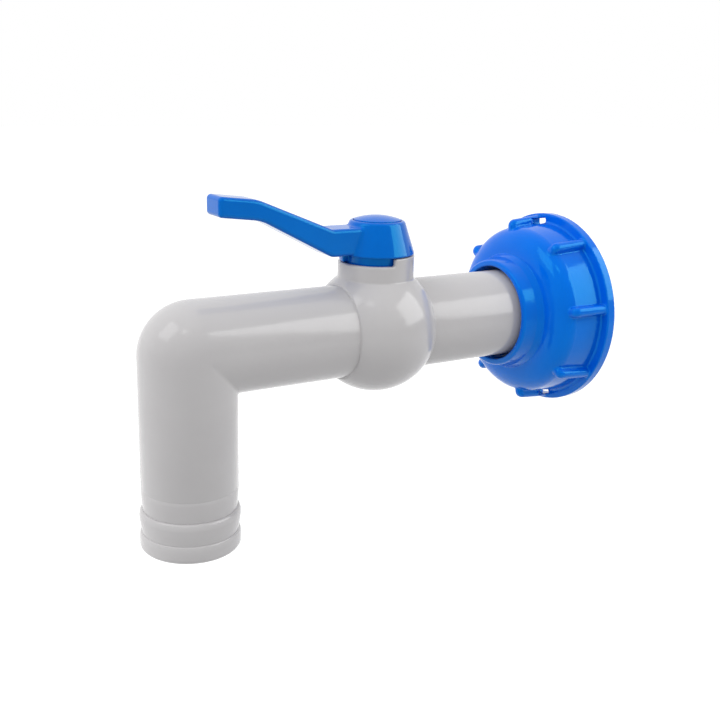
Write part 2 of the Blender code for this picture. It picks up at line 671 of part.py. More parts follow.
def make_gasket(made):
    front = -TAIL_FACE + CLEARANCE
    back = front + GASKET_THICKNESS
    profile = [(GASKET_OUTER, back), (GASKET_OUTER, front), (GASKET_INNER, front), (GASKET_INNER, back)]
    return finish(along_x(turned("flat_gasket", profile, PIPE_SIDES, PARTS), (0, 0, 0)), made)


def make_ball(made):
    """Ball with its bore in line with the pipe and the stem's slot across the top."""
    reach = math.sqrt(BALL_RADIUS ** 2 - BALL_BORE ** 2)
    profile = spherical_arc(BALL_RADIUS, reach, -reach, BALL_STEPS)
    ball = along_x(turned("ball", profile, SMALL_SIDES, PARTS), BALL_CENTRE)
    size = (SLOT_WIDTH, 2 * BALL_RADIUS, SLOT_DEPTH + OVERRUN)
    middle = BALL_CENTRE + Vector((0, 0, BALL_RADIUS - SLOT_DEPTH + size[2] / 2))
    boolean(ball, block("ball_slot", size, middle, CUTTERS), "DIFFERENCE")
    return finish(ball, made)


def make_seat(name, made, side):
    """Seat ring with a hollow spherical face to the ball; side is 1 for the tank and -1 for the spout."""
    bore_end = math.sqrt(SEAT_CONTACT ** 2 - SEAT_BORE ** 2)
    profile = [(SEAT_OUTER, SEAT_BACK), (SEAT_OUTER, SEAT_FRONT)]
    profile += spherical_arc(SEAT_CONTACT, SEAT_FRONT, bore_end, ARC_STEPS)
    profile += [(SEAT_BORE, SEAT_BACK)]
    seat = along_x(turned(name, profile, SMALL_SIDES, PARTS), BALL_CENTRE)
    seat.rotation_euler.y = side * QUARTER_TURN
    return finish(seat, made)


def ring(name, made, middle_radius, thickness):
    """Round sealing ring about z."""
    profile = arc((middle_radius, 0), thickness / 2, 90, -270, RING_SIDES)[:-1]
    return finish(turned(name, profile, SMALL_SIDES, PARTS), made)


def make_seat_ring(name, made, side):
    middle = (SEAT_BORE + POCKET_RADIUS) / 2
    place = SEAT_BACK + CLEARANCE + SEAT_RING_THICKNESS / 2
    return along_x(ring(name, made, middle, SEAT_RING_THICKNESS), BALL_CENTRE + Vector((side * place, 0, 0)))


def make_stem(made):
    """Stem with its tongue in the ball, the flange that keeps it in, two ring grooves and a square drive."""
    profile = [(0, COLLAR_BOTTOM), (STEM_RADIUS, COLLAR_BOTTOM)]
    for groove in (UPPER_GROOVE, LOWER_GROOVE):
        top = groove + GROOVE_WIDTH
        profile += [(STEM_RADIUS, top), (GROOVE_RADIUS, top), (GROOVE_RADIUS, groove), (STEM_RADIUS, groove)]
    profile += [
        (STEM_RADIUS, STEM_FLANGE_TOP), (STEM_FLANGE_RADIUS, STEM_FLANGE_TOP),
        (STEM_FLANGE_RADIUS, STEM_FLANGE_BOTTOM), (0, STEM_FLANGE_BOTTOM),
    ]
    stem = turned("stem", profile, SMALL_SIDES, PARTS, closed=False)
    stem.location = BALL_CENTRE

    drive_size = (DRIVE_SIZE, DRIVE_SIZE, DRIVE_TOP - CUP_FLOOR)
    drive = block("drive", drive_size, BALL_CENTRE + Vector((0, 0, (DRIVE_TOP + CUP_FLOOR) / 2)), CUTTERS)
    boolean(stem, drive, "UNION")

    width = SLOT_WIDTH - 2 * CLEARANCE
    bottom = BALL_RADIUS - TONGUE_DEPTH
    tongue_top = STEM_FLANGE_BOTTOM + STEM_FLANGE_THICKNESS / 2
    middle = BALL_CENTRE + Vector((0, 0, (bottom + tongue_top) / 2))
    tongue = block("tongue", (width, TONGUE_LENGTH, tongue_top - bottom), middle, CUTTERS)
    boolean(stem, tongue, "UNION")

    hole = SCREW_RADIUS + CLEARANCE
    hole_top = DRIVE_TOP + OVERRUN
    hole_bottom = SCREW_SEAT - SCREW_LENGTH - CLEARANCE
    hole_profile = [(0, hole_top), (hole, hole_top), (hole, hole_bottom), (0, hole_bottom)]
    screw_hole = turned("screw_hole", hole_profile, SMALL_SIDES, CUTTERS, closed=False)
    screw_hole.location = BALL_CENTRE
    boolean(stem, screw_hole, "DIFFERENCE")
    return finish(stem, made)


def make_stem_ring(name, made, groove):
    middle = (GROOVE_RADIUS + STEM_BORE) / 2
    seal = ring(name, made, middle, STEM_RING_THICKNESS)
    seal.location = BALL_CENTRE + Vector((0, 0, groove + GROOVE_WIDTH / 2))
    return seal


def make_stem_washer(made):
    bottom = STEM_FLANGE_TOP + CLEARANCE
    top = bottom + STEM_WASHER_THICKNESS
    outer, inner = STEM_FLANGE_RADIUS, STEM_BORE
    profile = [(outer, top), (outer, bottom), (inner, bottom), (inner, top)]
    washer = turned("stem_washer", profile, SMALL_SIDES, PARTS)
    washer.location = BALL_CENTRE
    return finish(washer, made)


def make_lever(made):
    """Lever moulded in one with its hub, guide collar and stop lug, cored out from below."""
    shoulder = arc((HUB_SHOULDER_RADIUS - HUB_ROUNDING, HUB_SHOULDER), HUB_ROUNDING, 90, 15, 3)
    pocket = SCREW_POCKET_RADIUS
    profile = [
        (0, SCREW_POCKET_FLOOR), (pocket, SCREW_POCKET_FLOOR), (pocket, CAP_SEAT),
        (CAP_RECESS_RADIUS, CAP_SEAT), (CAP_RECESS_RADIUS, HUB_TOP),
    ]
    profile += shoulder
    profile += [
        (HUB_BOTTOM_RADIUS, HUB_BOTTOM + HUB_RIM), (HUB_BOTTOM_RADIUS - HUB_RIM, HUB_BOTTOM),
        (COLLAR_RADIUS, HUB_BOTTOM), (COLLAR_RADIUS, COLLAR_BOTTOM),
        (COLLAR_RADIUS - COLLAR_WALL, COLLAR_BOTTOM), (COLLAR_RADIUS - COLLAR_WALL, CORE_TOP),
        (BOSS_RADIUS, CORE_TOP), (BOSS_RADIUS, COLLAR_BOTTOM), (0, COLLAR_BOTTOM),
    ]
    lever = turned("lever_handle", profile, PIPE_SIDES, PARTS, closed=False)
    lever.location = BALL_CENTRE

    root = (BOSS_RADIUS + SCREW_POCKET_RADIUS) / 2
    knee, heel = ARM_KNEE_BEND, ARM_HEEL_BEND
    outline = rounded_outline([
        (-root, ARM_ROOT_TOP, 0), (-ARM_TOP_HEEL, ARM_ROOT_TOP, heel),
        (-ARM_TOP_KNEE, ARM_TIP_TOP - ARM_TOP_KNEE_DROP, knee), (-ARM_REACH, ARM_TIP_TOP, 0),
        (-ARM_REACH, ARM_TIP_BOTTOM, 0), (-ARM_BOTTOM_KNEE, ARM_TIP_BOTTOM - ARM_BOTTOM_KNEE_DROP, knee),
        (-ARM_BOTTOM_HEEL, ARM_ROOT_BOTTOM, heel), (-root, ARM_ROOT_BOTTOM, 0),
    ])
    arm = plate("arm", outline, ARM_WIDTH, CUTTERS)
    bevel(arm, ARM_EDGE, 3)
    arm.location = BALL_CENTRE
    boolean(lever, arm, "UNION")

    top = HUB_BOTTOM + HUB_RIM
    inner = COLLAR_RADIUS - COLLAR_WALL / 2
    lug_profile = [(LUG_RADIUS, top), (LUG_RADIUS, LUG_BOTTOM), (inner, LUG_BOTTOM), (inner, top)]
    lug_front = STOP_ANGLE - LEVER_TURN - STOP_PLAY
    lug = sector("stop_lug", lug_profile, lug_front - LUG_SPAN, lug_front, CUTTERS)
    boolean(lever, lug, "UNION")

    depth = SCREW_POCKET_FLOOR - COLLAR_BOTTOM + 2 * OVERRUN
    middle = BALL_CENTRE + Vector((0, 0, (SCREW_POCKET_FLOOR + COLLAR_BOTTOM) / 2))
    hole = block("drive_hole", (DRIVE_HOLE_SIZE, DRIVE_HOLE_SIZE, depth), middle, CUTTERS)
    boolean(lever, hole, "DIFFERENCE")
    return finish(lever, made)


def make_screw(made):
    """Pan-head screw that holds the lever on the stem."""
    top = SCREW_SEAT + SCREW_HEAD_HEIGHT
    head = SCREW_HEAD_RADIUS
    end = SCREW_SEAT - SCREW_LENGTH
    profile = [
        (0, top), (head - SCREW_HEAD_EDGE, top), (head, top - SCREW_HEAD_EDGE), (head, SCREW_SEAT),
        (SCREW_RADIUS, SCREW_SEAT), (SCREW_RADIUS, end), (0, end),
    ]
    screw = turned("handle_screw", profile, SMALL_SIDES, PARTS, closed=False)
    screw.location = BALL_CENTRE
    depth = SCREW_RECESS_DEPTH + OVERRUN
    middle = BALL_CENTRE + Vector((0, 0, top - SCREW_RECESS_DEPTH + depth / 2))
    long, wide = SCREW_RECESS_LENGTH, SCREW_RECESS_WIDTH
    for name, size in (("recess_along", (long, wide, depth)), ("recess_across", (wide, long, depth))):
        boolean(screw, block(name, size, middle, CUTTERS), "DIFFERENCE")
    return finish(screw, made)


def make_screw_washer(made):
    bottom = SCREW_POCKET_FLOOR + CLEARANCE
    top = bottom + SCREW_WASHER_THICKNESS
    inner = SCREW_RADIUS + CLEARANCE
    profile = [(SCREW_WASHER_RADIUS, top), (SCREW_WASHER_RADIUS, bottom), (inner, bottom), (inner, top)]
    washer = turned("screw_washer", profile, SMALL_SIDES, PARTS)
    washer.location = BALL_CENTRE
    return finish(washer, made)


def make_cap(made):
    """Domed cap that plugs into the hub over the screw."""
    dome_radius = (CAP_RADIUS ** 2 + CAP_RISE ** 2) / (2 * CAP_RISE)
    half = math.degrees(math.asin(CAP_RADIUS / dome_radius))
    dome = arc((0, CAP_CROWN - dome_radius), dome_radius, 90, 90 - half, ARC_STEPS)
    inner = CAP_PLUG_RADIUS - CAP_PLUG_WALL
    ceiling = CAP_CROWN - CAP_THICKNESS
    rest = CAP_SEAT + CLEARANCE
    plug_end = CAP_SEAT - CAP_PLUG_LENGTH
    profile = [(0, CAP_CROWN)] + dome[1:]
    profile += [
        (CAP_RADIUS, rest), (CAP_PLUG_RADIUS, rest), (CAP_PLUG_RADIUS, plug_end),
        (inner, plug_end), (inner, ceiling), (0, ceiling),
    ]
    cap = turned("handle_cap", profile, SMALL_SIDES, PARTS, closed=False)
    cap.location = BALL_CENTRE
    return finish(cap, made)


def main():
    clear_scene()
    grey = material("grey_plastic", GREY_PLASTIC)
    blue = material("blue_plastic", BLUE_PLASTIC)
    white = material("seat_plastic", SEAT_WHITE)
    pale = material("ball_plastic", BALL_GREY)
    rubber = material("rubber", BLACK_RUBBER)
    steel = material("steel", STEEL)

    make_housing(grey)
    make_elbow(grey.copy())
    make_tail(grey.copy())
    make_nut(blue)
    make_gasket(rubber)
    make_ball(pale)
    for name, side in (("inlet", 1), ("outlet", -1)):
        make_seat(f"{name}_seat", white.copy(), side)
        make_seat_ring(f"{name}_seat_ring", rubber.copy(), side)
    turning = [
        make_stem(pale.copy()),
        make_stem_ring("lower_stem_ring", rubber.copy(), LOWER_GROOVE),
        make_stem_ring("upper_stem_ring", rubber.copy(), UPPER_GROOVE),
        make_lever(blue.copy()),
        make_screw(steel),
        make_screw_washer(steel.copy()),
        make_cap(blue.copy()),
        bpy.data.objects["ball"],
    ]
    make_stem_washer(white.copy())

    stem_axis = bpy.data.objects.new("stem_axis", None)
    bpy.data.collections[PARTS].objects.link(stem_axis)
    stem_axis.location = BALL_CENTRE
    bpy.context.view_layer.update()
    for piece in turning:
        world = piece.matrix_world.copy()
        piece.parent = stem_axis
        piece.matrix_world = world


main()
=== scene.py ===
"""Looks of a plastic ball valve for a container outlet: finer pieces, materials, camera and light.

Shapes are worked out in millimetres. The x axis runs along the pipe towards the tank and z is up.
The nut is drawn from the centre of its open end, the rest from the centre of the ball.
"""

import json
import math
from concurrent.futures import ThreadPoolExecutor

import bmesh
import bpy
import numpy as np
from mathutils import Matrix, Vector


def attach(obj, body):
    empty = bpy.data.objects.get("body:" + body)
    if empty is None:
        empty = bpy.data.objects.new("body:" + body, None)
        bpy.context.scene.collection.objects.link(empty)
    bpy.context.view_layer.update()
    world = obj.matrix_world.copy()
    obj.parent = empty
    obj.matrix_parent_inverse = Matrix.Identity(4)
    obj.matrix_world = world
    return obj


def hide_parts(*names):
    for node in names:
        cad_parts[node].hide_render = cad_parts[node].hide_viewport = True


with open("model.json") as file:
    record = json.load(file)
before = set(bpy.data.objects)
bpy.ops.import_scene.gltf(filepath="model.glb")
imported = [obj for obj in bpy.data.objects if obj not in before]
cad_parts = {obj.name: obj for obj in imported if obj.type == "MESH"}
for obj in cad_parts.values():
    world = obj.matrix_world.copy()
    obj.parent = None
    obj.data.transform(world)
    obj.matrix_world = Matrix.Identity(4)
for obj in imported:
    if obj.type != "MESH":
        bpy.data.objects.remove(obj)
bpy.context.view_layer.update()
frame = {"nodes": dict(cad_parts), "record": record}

MM = 0.001
BALL_X = -89.2
CLEARANCE = 0.3
FULL_TURN = 2 * math.pi
QUARTER_TURN = math.pi / 2

# Camera
CAMERA_PLACE = Vector((-0.293817, -0.318921, 0.094982))
CAMERA_RIGHT = Vector((0.852606, -0.521786, 0.028329))
CAMERA_AHEAD = Vector((0.508453, 0.815869, -0.275378))
CAMERA_LENS = 50.13
CAMERA_SENSOR = 36
CAMERA_CLIP = (0.01, 50)

# Pipe and ball
PIPE_RADIUS = 17.65
PIPE_BORE = 14.35
PIPE_SIDES = 144
SPIGOT_START = 12.48
POCKET_RADIUS = 15.2
POCKET_FLOOR = 17.38
SEAT_OUTER = 14.9
SEAT_BORE = 11.2
SEAT_FRONT = 10.58
SEAT_BACK = 14.98
WEB_THICKNESS = 3.0
WEB_TAPER = 3.0
BALL_RADIUS = 16.5
BALL_BORE = 10.5
SLOT_WIDTH = 5.2
SLOT_DEPTH = 3.1
SLOT_SHARP_DEGREES = 30
BALL_STEPS = 40
SEAT_STEPS = 10
SMALL_EDGE = 0.3

# Elbow and hose tail, depths below the ball's centre
SPOUT_X = -77.2
BEND_RADIUS = 2.2
BEND_STEPS = 20
MITRE_FILLET = 0.9
SPOUT_END = 74.2
BARB_CREST = 18.45
BARB_FOOT = 17.7
BARB_WAIST = 17.2
BARB_HEIGHT = 8.5
BARB_SHOULDER = 2.6
BARB_SHOULDER_POWER = 0.85
WAIST_EASE = (0.08, 0.35)
FOOT_EASE = (0.06, 0.3)
LAST_BARB_HEIGHT = 6.9
WAIST_LENGTH = 6.5
SPOUT_LIP = 2.1
SPOUT_LIP_STEPS = 8
SPOUT_LINE_ABOVE = 8.0
SPOUT_LINE_DEPTH = 0.05
SPOUT_LINE_HALF = 0.14

# Housing, heights above the ball's centre
HOUSING_RADIUS = 24.7
HOUSING_HALF = 16.53
HOUSING_EDGE = 0.3
SOCKET_RADIUS = 17.95
CHAMBER_RADIUS = 17.1
SOCKET_SHOULDER = 12.18
SOCKET_EDGE = 0.1
WELD_RADIUS = 16.4
WELD_DEPTH = 1.5
WELD_SLEEVE_RADIUS = 17.7
WELD_SLEEVE_END = 17.5
WELD_FILLET = 0.25
NECK_FILLET = 0.4
NECK_RADIUS = 14.64
NECK_TOP = 29.0
NECK_EDGE = 0.55
LOW_RIM = 26.2
CUP_RADIUS = 12.2
CUP_FLOOR = 25.34
CUP_EDGE = 0.4
STEM_BORE = 6.2
STEM_RECESS_RADIUS = 7.3
STEM_RECESS_TOP = 19.8
LUG_RADIUS = 14.2
STOP_ANGLE = math.radians(268.2)
LUG_SPAN = math.radians(50)
STOP_PLAY = CLEARANCE / LUG_RADIUS
NOTCH_BACK = STOP_ANGLE - QUARTER_TURN - LUG_SPAN - 2 * STOP_PLAY
NOTCH_SIDE_EDGE = 0.1
NOTCH_EDGE = 0.9

# Lever, heights above the ball's centre
HUB_BOTTOM = 29.3
HUB_RADIUS = 14.64
HUB_FOOT_EDGE = 0.45
HUB_TOP_RADIUS = 10.45
HUB_TOP = 41.8
HUB_TOP_EDGE = 1.5
CAP_RECESS_RADIUS = 9.15
CAP_RECESS_EDGE = 0.35
CAP_SEAT = 41.0
CAP_SEAT_EDGE = 0.2
SCREW_POCKET_RADIUS = 7.9
SCREW_POCKET_FLOOR = 37.2
COLLAR_RADIUS = 11.75
COLLAR_BOTTOM = 25.64
COLLAR_WALL = 1.8
CORE_TOP = 35.0
BOSS_RADIUS = 8.0
DRIVE_HOLE = 8.6
HOLE_OVERCUT = 1
LUG_BOTTOM = 26.5
LUG_EDGE = 0.35
LUG_OVERLAP = 0.4
ARM_WIDTH = 12.2
ARM_EDGE = 1.6
ARM_REACH = 67.1
ARM_ROOT = 6.0
ARM_ROOT_BOTTOM = 29.7
ARM_ROOT_TOP = 39.9
ARM_TIP_BOTTOM = 46.3
ARM_TIP_TOP = 53.6
ARM_TOP_HEEL = 22.14
ARM_BOTTOM_HEEL = 22.24
ARM_TOP_KNEE = 52.3
ARM_TOP_KNEE_DROP = 1.65
ARM_BOTTOM_KNEE = 50.8
ARM_BOTTOM_KNEE_DROP = 1.9
ARM_KNEE_BEND = 16.0
ARM_HEEL_BEND = 5.0
ARM_FILLET = 0.9
CAP_RADIUS = 8.85
CAP_EDGE = 42.1
CAP_CROWN = 43.6
CAP_THICKNESS = 1.6
CAP_PLUG_RADIUS = 7.6
CAP_PLUG_WALL = 1.2
CAP_PLUG_LENGTH = 2.4
CAP_PLUG_EDGE = 0.3
CAP_RIM_EDGE = 0.15
CAP_CEILING_EDGE = 0.2
CAP_STEPS = 28
LEAST_RADIUS = 0.02

# Nut, lengths forward from its open end
THREAD_ROOT = 30.2
THREAD_CREST = 28.2
THREAD_PITCH = 6.0
THREAD_START = 2.2
THREAD_END = 11.6
THREAD_FADE = 1.6
THREAD_HALF_CREST = 0.7
THREAD_EDGE = 0.35
THREAD_SLOPE_ENDS = (2.3, -1.5)
THREAD_BITE = 1
THREAD_FILLET = 0.3
SKIRT_RADIUS = 34.9
SKIRT_BACK_RADIUS = 36.2
FLANGE_RADIUS = 40.0
FLANGE_THICKNESS = 3.7
FLANGE_EDGE = 0.3
SKIRT_FILLET = 0.8
MOUTH_CHAMFER = 1.0
DOME_START = 15.2
DOME_END = 23.2
DOME_FRONT_RADIUS = 24.2
DOME_STEPS = 48
COLLAR_FOOT_FILLET = 0.25
COLLAR_FLARE = 22.9
COLLAR_FLARE_END = 25.8
COLLAR_FLARE_BEND = 2.0
COLLAR_OUTER = 21.9
COLLAR_BORE = 19.5
COLLAR_EDGE = 1.1
BORE_CHAMFER = 0.6
NUT_LENGTH = 31.7
FRONT_WALL = 18.7
FRONT_WALL_EDGE = 0.4
FRONT_WALL_FILLET = 0.8
RIB_COUNT = 8
RIB_FIRST_ANGLE = math.radians(10)
RIB_WIDTH = 4.2
RIB_EDGE = 1.9
RIB_BACK_RADIUS = 39.4
RIB_FRONT_RADIUS = 37.9
RIB_FRONT = 19.2
RIB_NOSE = 3.0
RIB_INNER = 31.0
RIB_ROOT_FILLET = 0.6
SEAL_HOLE_RIBS = (2, 6)
SEAL_HOLE_WIDTH = 7.5
SEAL_HOLE_SHIFT = 1.2
SEAL_HOLE_LENGTH = 8.4
SEAL_HOLE_BOTTOM = 35.5
SEAL_HOLE_TOP = 37.8
SEAL_HOLE_EDGE = 0.3

# Tail flange and gasket, lengths forward from the nut's open end
TAIL_FLANGE_RADIUS = 27.3
TAIL_FLANGE_FRONT = 18.4
TAIL_FACE = 14.9
TAIL_EDGE = 0.5
TAIL_SMALL_EDGE = 0.4
GASKET_OUTER = 27.0
GASKET_INNER = 18.0
GASKET_FRONT = 14.6
GASKET_BACK = 12.1
GASKET_EDGE = 0.2


LEAST_SQUARE_RUN = 1e-12


def rounded_outline(corners, steps=8):
    """Points of a closed outline from (x, y, bend radius) corners, sharp where the radius is zero."""
    points = []
    for index, (x, y, radius) in enumerate(corners):
        corner = Vector((x, y))
        if radius == 0:
            points.append((x, y))
            continue
        back = (Vector(corners[index - 1][:2]) - corner).normalized()
        ahead = (Vector(corners[(index + 1) % len(corners)][:2]) - corner).normalized()
        half = back.angle(ahead) / 2
        middle = corner + (back + ahead).normalized() * radius / math.sin(half)
        start = (corner + back * radius / math.tan(half) - middle).normalized()
        end = (corner + ahead * radius / math.tan(half) - middle).normalized()
        for step in range(steps + 1):
            points.append(tuple(middle + start.slerp(end, step / steps) * radius))
    return points


def smooth_max(first, second, blend):
    """The larger of two distances, rounded over where they are close."""
    near = np.maximum(blend - np.abs(first - second), 0) / blend
    return np.maximum(first, second) + near * near * blend / 4


def smooth_min(first, second, blend):
    """The smaller of two distances, filleted where they are close."""
    return -smooth_max(-first, -second, blend)


def outline_distance(across, along, outline):
    """Distance to a closed outline, negative inside it."""
    nearest = np.full(across.shape, np.inf)
    inside = np.zeros(across.shape, bool)
    for (x0, y0), (x1, y1) in zip(outline, outline[1:] + outline[:1]):
        run, rise = x1 - x0, y1 - y0
        square = run * run + rise * rise
        if square < LEAST_SQUARE_RUN:
            continue
        from_x, from_y = across - x0, along - y0
        share = np.clip((from_x * run + from_y * rise) / square, 0, 1)
        off_x, off_y = from_x - share * run, from_y - share * rise
        np.minimum(nearest, off_x * off_x + off_y * off_y, out=nearest)
        if rise != 0:
            inside ^= ((y0 > along) != (y1 > along)) & (across < x0 + run * from_y / rise)
    return np.where(inside, -1, 1) * np.sqrt(nearest)


def rounded_meet(first, second, edge):
    """Overlap of two forms, with a true round of the given radius where their faces meet."""
    first, second = first + edge, second + edge
    outer = np.hypot(np.maximum(first, 0), np.maximum(second, 0))
    return outer + np.minimum(np.maximum(first, second), 0) - edge


def turned_side(angle, x, y):
    """Distance to the left of a ray from the axis."""
    return y * math.cos(angle) - x * math.sin(angle)


def nut_outline():
    """The nut's cross-section as (radius, distance from the open end), without ribs and thread."""
    corners = [(FLANGE_RADIUS, 0, FLANGE_EDGE), (FLANGE_RADIUS, FLANGE_THICKNESS, FLANGE_EDGE)]
    corners += [(SKIRT_BACK_RADIUS, FLANGE_THICKNESS, SKIRT_FILLET)]
    for step in range(DOME_STEPS):
        angle = QUARTER_TURN * step / DOME_STEPS
        reach = DOME_FRONT_RADIUS + (SKIRT_RADIUS - DOME_FRONT_RADIUS) * math.cos(angle)
        corners.append((reach, DOME_START + (DOME_END - DOME_START) * math.sin(angle), 0))
    corners += [
        (DOME_FRONT_RADIUS, DOME_END, COLLAR_FOOT_FILLET),
        (COLLAR_FLARE, COLLAR_FLARE_END, COLLAR_FLARE_BEND),
        (COLLAR_OUTER, NUT_LENGTH, COLLAR_EDGE), (COLLAR_BORE, NUT_LENGTH, BORE_CHAMFER),
        (COLLAR_BORE, FRONT_WALL, FRONT_WALL_EDGE), (THREAD_ROOT, FRONT_WALL, FRONT_WALL_FILLET),
        (THREAD_ROOT, MOUTH_CHAMFER, 0), (THREAD_ROOT + MOUTH_CHAMFER, 0, 0),
    ]
    return rounded_outline(corners)


NUT_OUTLINE = nut_outline()
RIB_OUTLINE = rounded_outline([
    (FLANGE_THICKNESS / 2, RIB_INNER, 0), (FLANGE_THICKNESS / 2, RIB_BACK_RADIUS, 0),
    (RIB_FRONT, RIB_FRONT_RADIUS, RIB_NOSE), (RIB_FRONT, RIB_INNER, 0),
], steps=12)
THREAD_OUTLINE = rounded_outline([
    (THREAD_CREST, -THREAD_HALF_CREST, THREAD_EDGE), (THREAD_CREST, THREAD_HALF_CREST, THREAD_EDGE),
    (THREAD_ROOT + THREAD_BITE, THREAD_SLOPE_ENDS[0], 0),
    (THREAD_ROOT + THREAD_BITE, THREAD_SLOPE_ENDS[1], 0),
], steps=5)


def nut_form(x, y, z):
    """Swivel nut: flange, skirt, dome, collar, ribs with rounded roots, seal-wire holes, thread."""
    forward = -x
    radius = np.hypot(y, z)
    turn = np.arctan2(z, -y)
    step = FULL_TURN / RIB_COUNT
    count = np.floor((turn - RIB_FIRST_ANGLE) / step + 0.5)
    aside = turn - RIB_FIRST_ANGLE - count * step
    height, lateral = radius * np.cos(aside), radius * np.sin(aside)

    body = outline_distance(radius, forward, NUT_OUTLINE)
    side = np.abs(lateral) - RIB_WIDTH / 2
    rib = rounded_meet(outline_distance(forward, height, RIB_OUTLINE), side, RIB_EDGE)
    form = smooth_min(body, rib, RIB_ROOT_FILLET)
    form = np.maximum(form, radius - FLANGE_RADIUS)

    holed = np.isin(count.astype(int) % RIB_COUNT, SEAL_HOLE_RIBS)
    middle = (SEAL_HOLE_BOTTOM + SEAL_HOLE_TOP) / 2
    floors = np.abs(height - middle) - (SEAL_HOLE_TOP - SEAL_HOLE_BOTTOM) / 2
    sides = np.abs(lateral + SEAL_HOLE_SHIFT) - SEAL_HOLE_WIDTH / 2
    hole = rounded_meet(floors, np.maximum(sides, forward - SEAL_HOLE_LENGTH), SEAL_HOLE_EDGE)
    form = np.where(holed, smooth_max(form, -hole, SEAL_HOLE_EDGE), form)

    lead = forward - THREAD_PITCH * turn / FULL_TURN
    offset = lead - THREAD_PITCH * np.round(lead / THREAD_PITCH)
    fade = np.clip((THREAD_START - forward) / THREAD_FADE, 0, 1)
    fade = fade + np.clip((forward - THREAD_END) / THREAD_FADE, 0, 1)
    sunk = (THREAD_ROOT + THREAD_BITE - THREAD_CREST) * fade * fade * (3 - 2 * fade)
    thread = outline_distance(radius - sunk, offset, THREAD_OUTLINE)
    thread = np.maximum(thread, forward - THREAD_END - THREAD_FADE)
    return np.maximum(smooth_min(form, thread, THREAD_FILLET), -forward)


def housing_form(x, y, z):
    """Spherical housing with its neck, bores and the low stretch of the neck's rim."""
    x = x - BALL_X
    from_stem, from_pipe = np.hypot(x, y), np.hypot(y, z)
    length = np.abs(x)
    sphere = np.sqrt(x * x + y * y + z * z) - HOUSING_RADIUS
    sphere = smooth_max(sphere, length - HOUSING_HALF, HOUSING_EDGE)
    sleeve = np.maximum(from_pipe - WELD_SLEEVE_RADIUS, length - WELD_SLEEVE_END)
    neck = np.maximum(rounded_meet(from_stem - NECK_RADIUS, z - NECK_TOP, NECK_EDGE), -z)
    form = smooth_min(smooth_min(sphere, sleeve, WELD_FILLET), neck, NECK_FILLET)

    socket = np.maximum(from_pipe - SOCKET_RADIUS, SOCKET_SHOULDER - length)
    bore = np.minimum(from_pipe - CHAMBER_RADIUS, socket)
    weld = np.maximum(WELD_RADIUS - from_pipe, HOUSING_HALF - WELD_DEPTH - length)
    form = smooth_max(form, -np.maximum(bore, -weld), SOCKET_EDGE)
    cup = rounded_meet(from_stem - CUP_RADIUS, CUP_FLOOR - z, CUP_EDGE)
    stem = np.maximum(from_stem - STEM_BORE, -z)
    recess = np.maximum(np.maximum(from_stem - STEM_RECESS_RADIUS, z - STEM_RECESS_TOP), -z)
    form = smooth_max(form, -np.minimum(np.minimum(cup, stem), recess), CUP_EDGE)

    front, back = turned_side(STOP_ANGLE, x, y), turned_side(NOTCH_BACK, x, y)
    notch = rounded_meet(rounded_meet(front, -back, NOTCH_SIDE_EDGE), LOW_RIM - z, NOTCH_EDGE)
    return smooth_max(form, -notch, NOTCH_EDGE)


HUB_OUTLINE = rounded_outline([
    (-HUB_RADIUS, SCREW_POCKET_FLOOR, 0), (SCREW_POCKET_RADIUS, SCREW_POCKET_FLOOR, SMALL_EDGE),
    (SCREW_POCKET_RADIUS, CAP_SEAT, CAP_SEAT_EDGE), (CAP_RECESS_RADIUS, CAP_SEAT, CAP_SEAT_EDGE),
    (CAP_RECESS_RADIUS, HUB_TOP, CAP_RECESS_EDGE), (HUB_TOP_RADIUS, HUB_TOP, HUB_TOP_EDGE),
    (HUB_RADIUS, HUB_BOTTOM, HUB_FOOT_EDGE), (COLLAR_RADIUS, HUB_BOTTOM, SMALL_EDGE),
    (COLLAR_RADIUS, COLLAR_BOTTOM, SMALL_EDGE),
    (COLLAR_RADIUS - COLLAR_WALL, COLLAR_BOTTOM, SMALL_EDGE),
    (COLLAR_RADIUS - COLLAR_WALL, CORE_TOP, SMALL_EDGE), (BOSS_RADIUS, CORE_TOP, SMALL_EDGE),
    (BOSS_RADIUS, COLLAR_BOTTOM, SMALL_EDGE), (-HUB_RADIUS, COLLAR_BOTTOM, 0),
])
ARM_OUTLINE = rounded_outline([
    (ARM_ROOT, ARM_ROOT_TOP, 0), (ARM_TOP_HEEL, ARM_ROOT_TOP, ARM_HEEL_BEND),
    (ARM_TOP_KNEE, ARM_TIP_TOP - ARM_TOP_KNEE_DROP, ARM_KNEE_BEND),
    (ARM_REACH, ARM_TIP_TOP, ARM_EDGE), (ARM_REACH, ARM_TIP_BOTTOM, ARM_EDGE),
    (ARM_BOTTOM_KNEE, ARM_TIP_BOTTOM - ARM_BOTTOM_KNEE_DROP, ARM_KNEE_BEND),
    (ARM_BOTTOM_HEEL, ARM_ROOT_BOTTOM, ARM_HEEL_BEND), (ARM_ROOT, ARM_ROOT_BOTTOM, 0),
], steps=14)


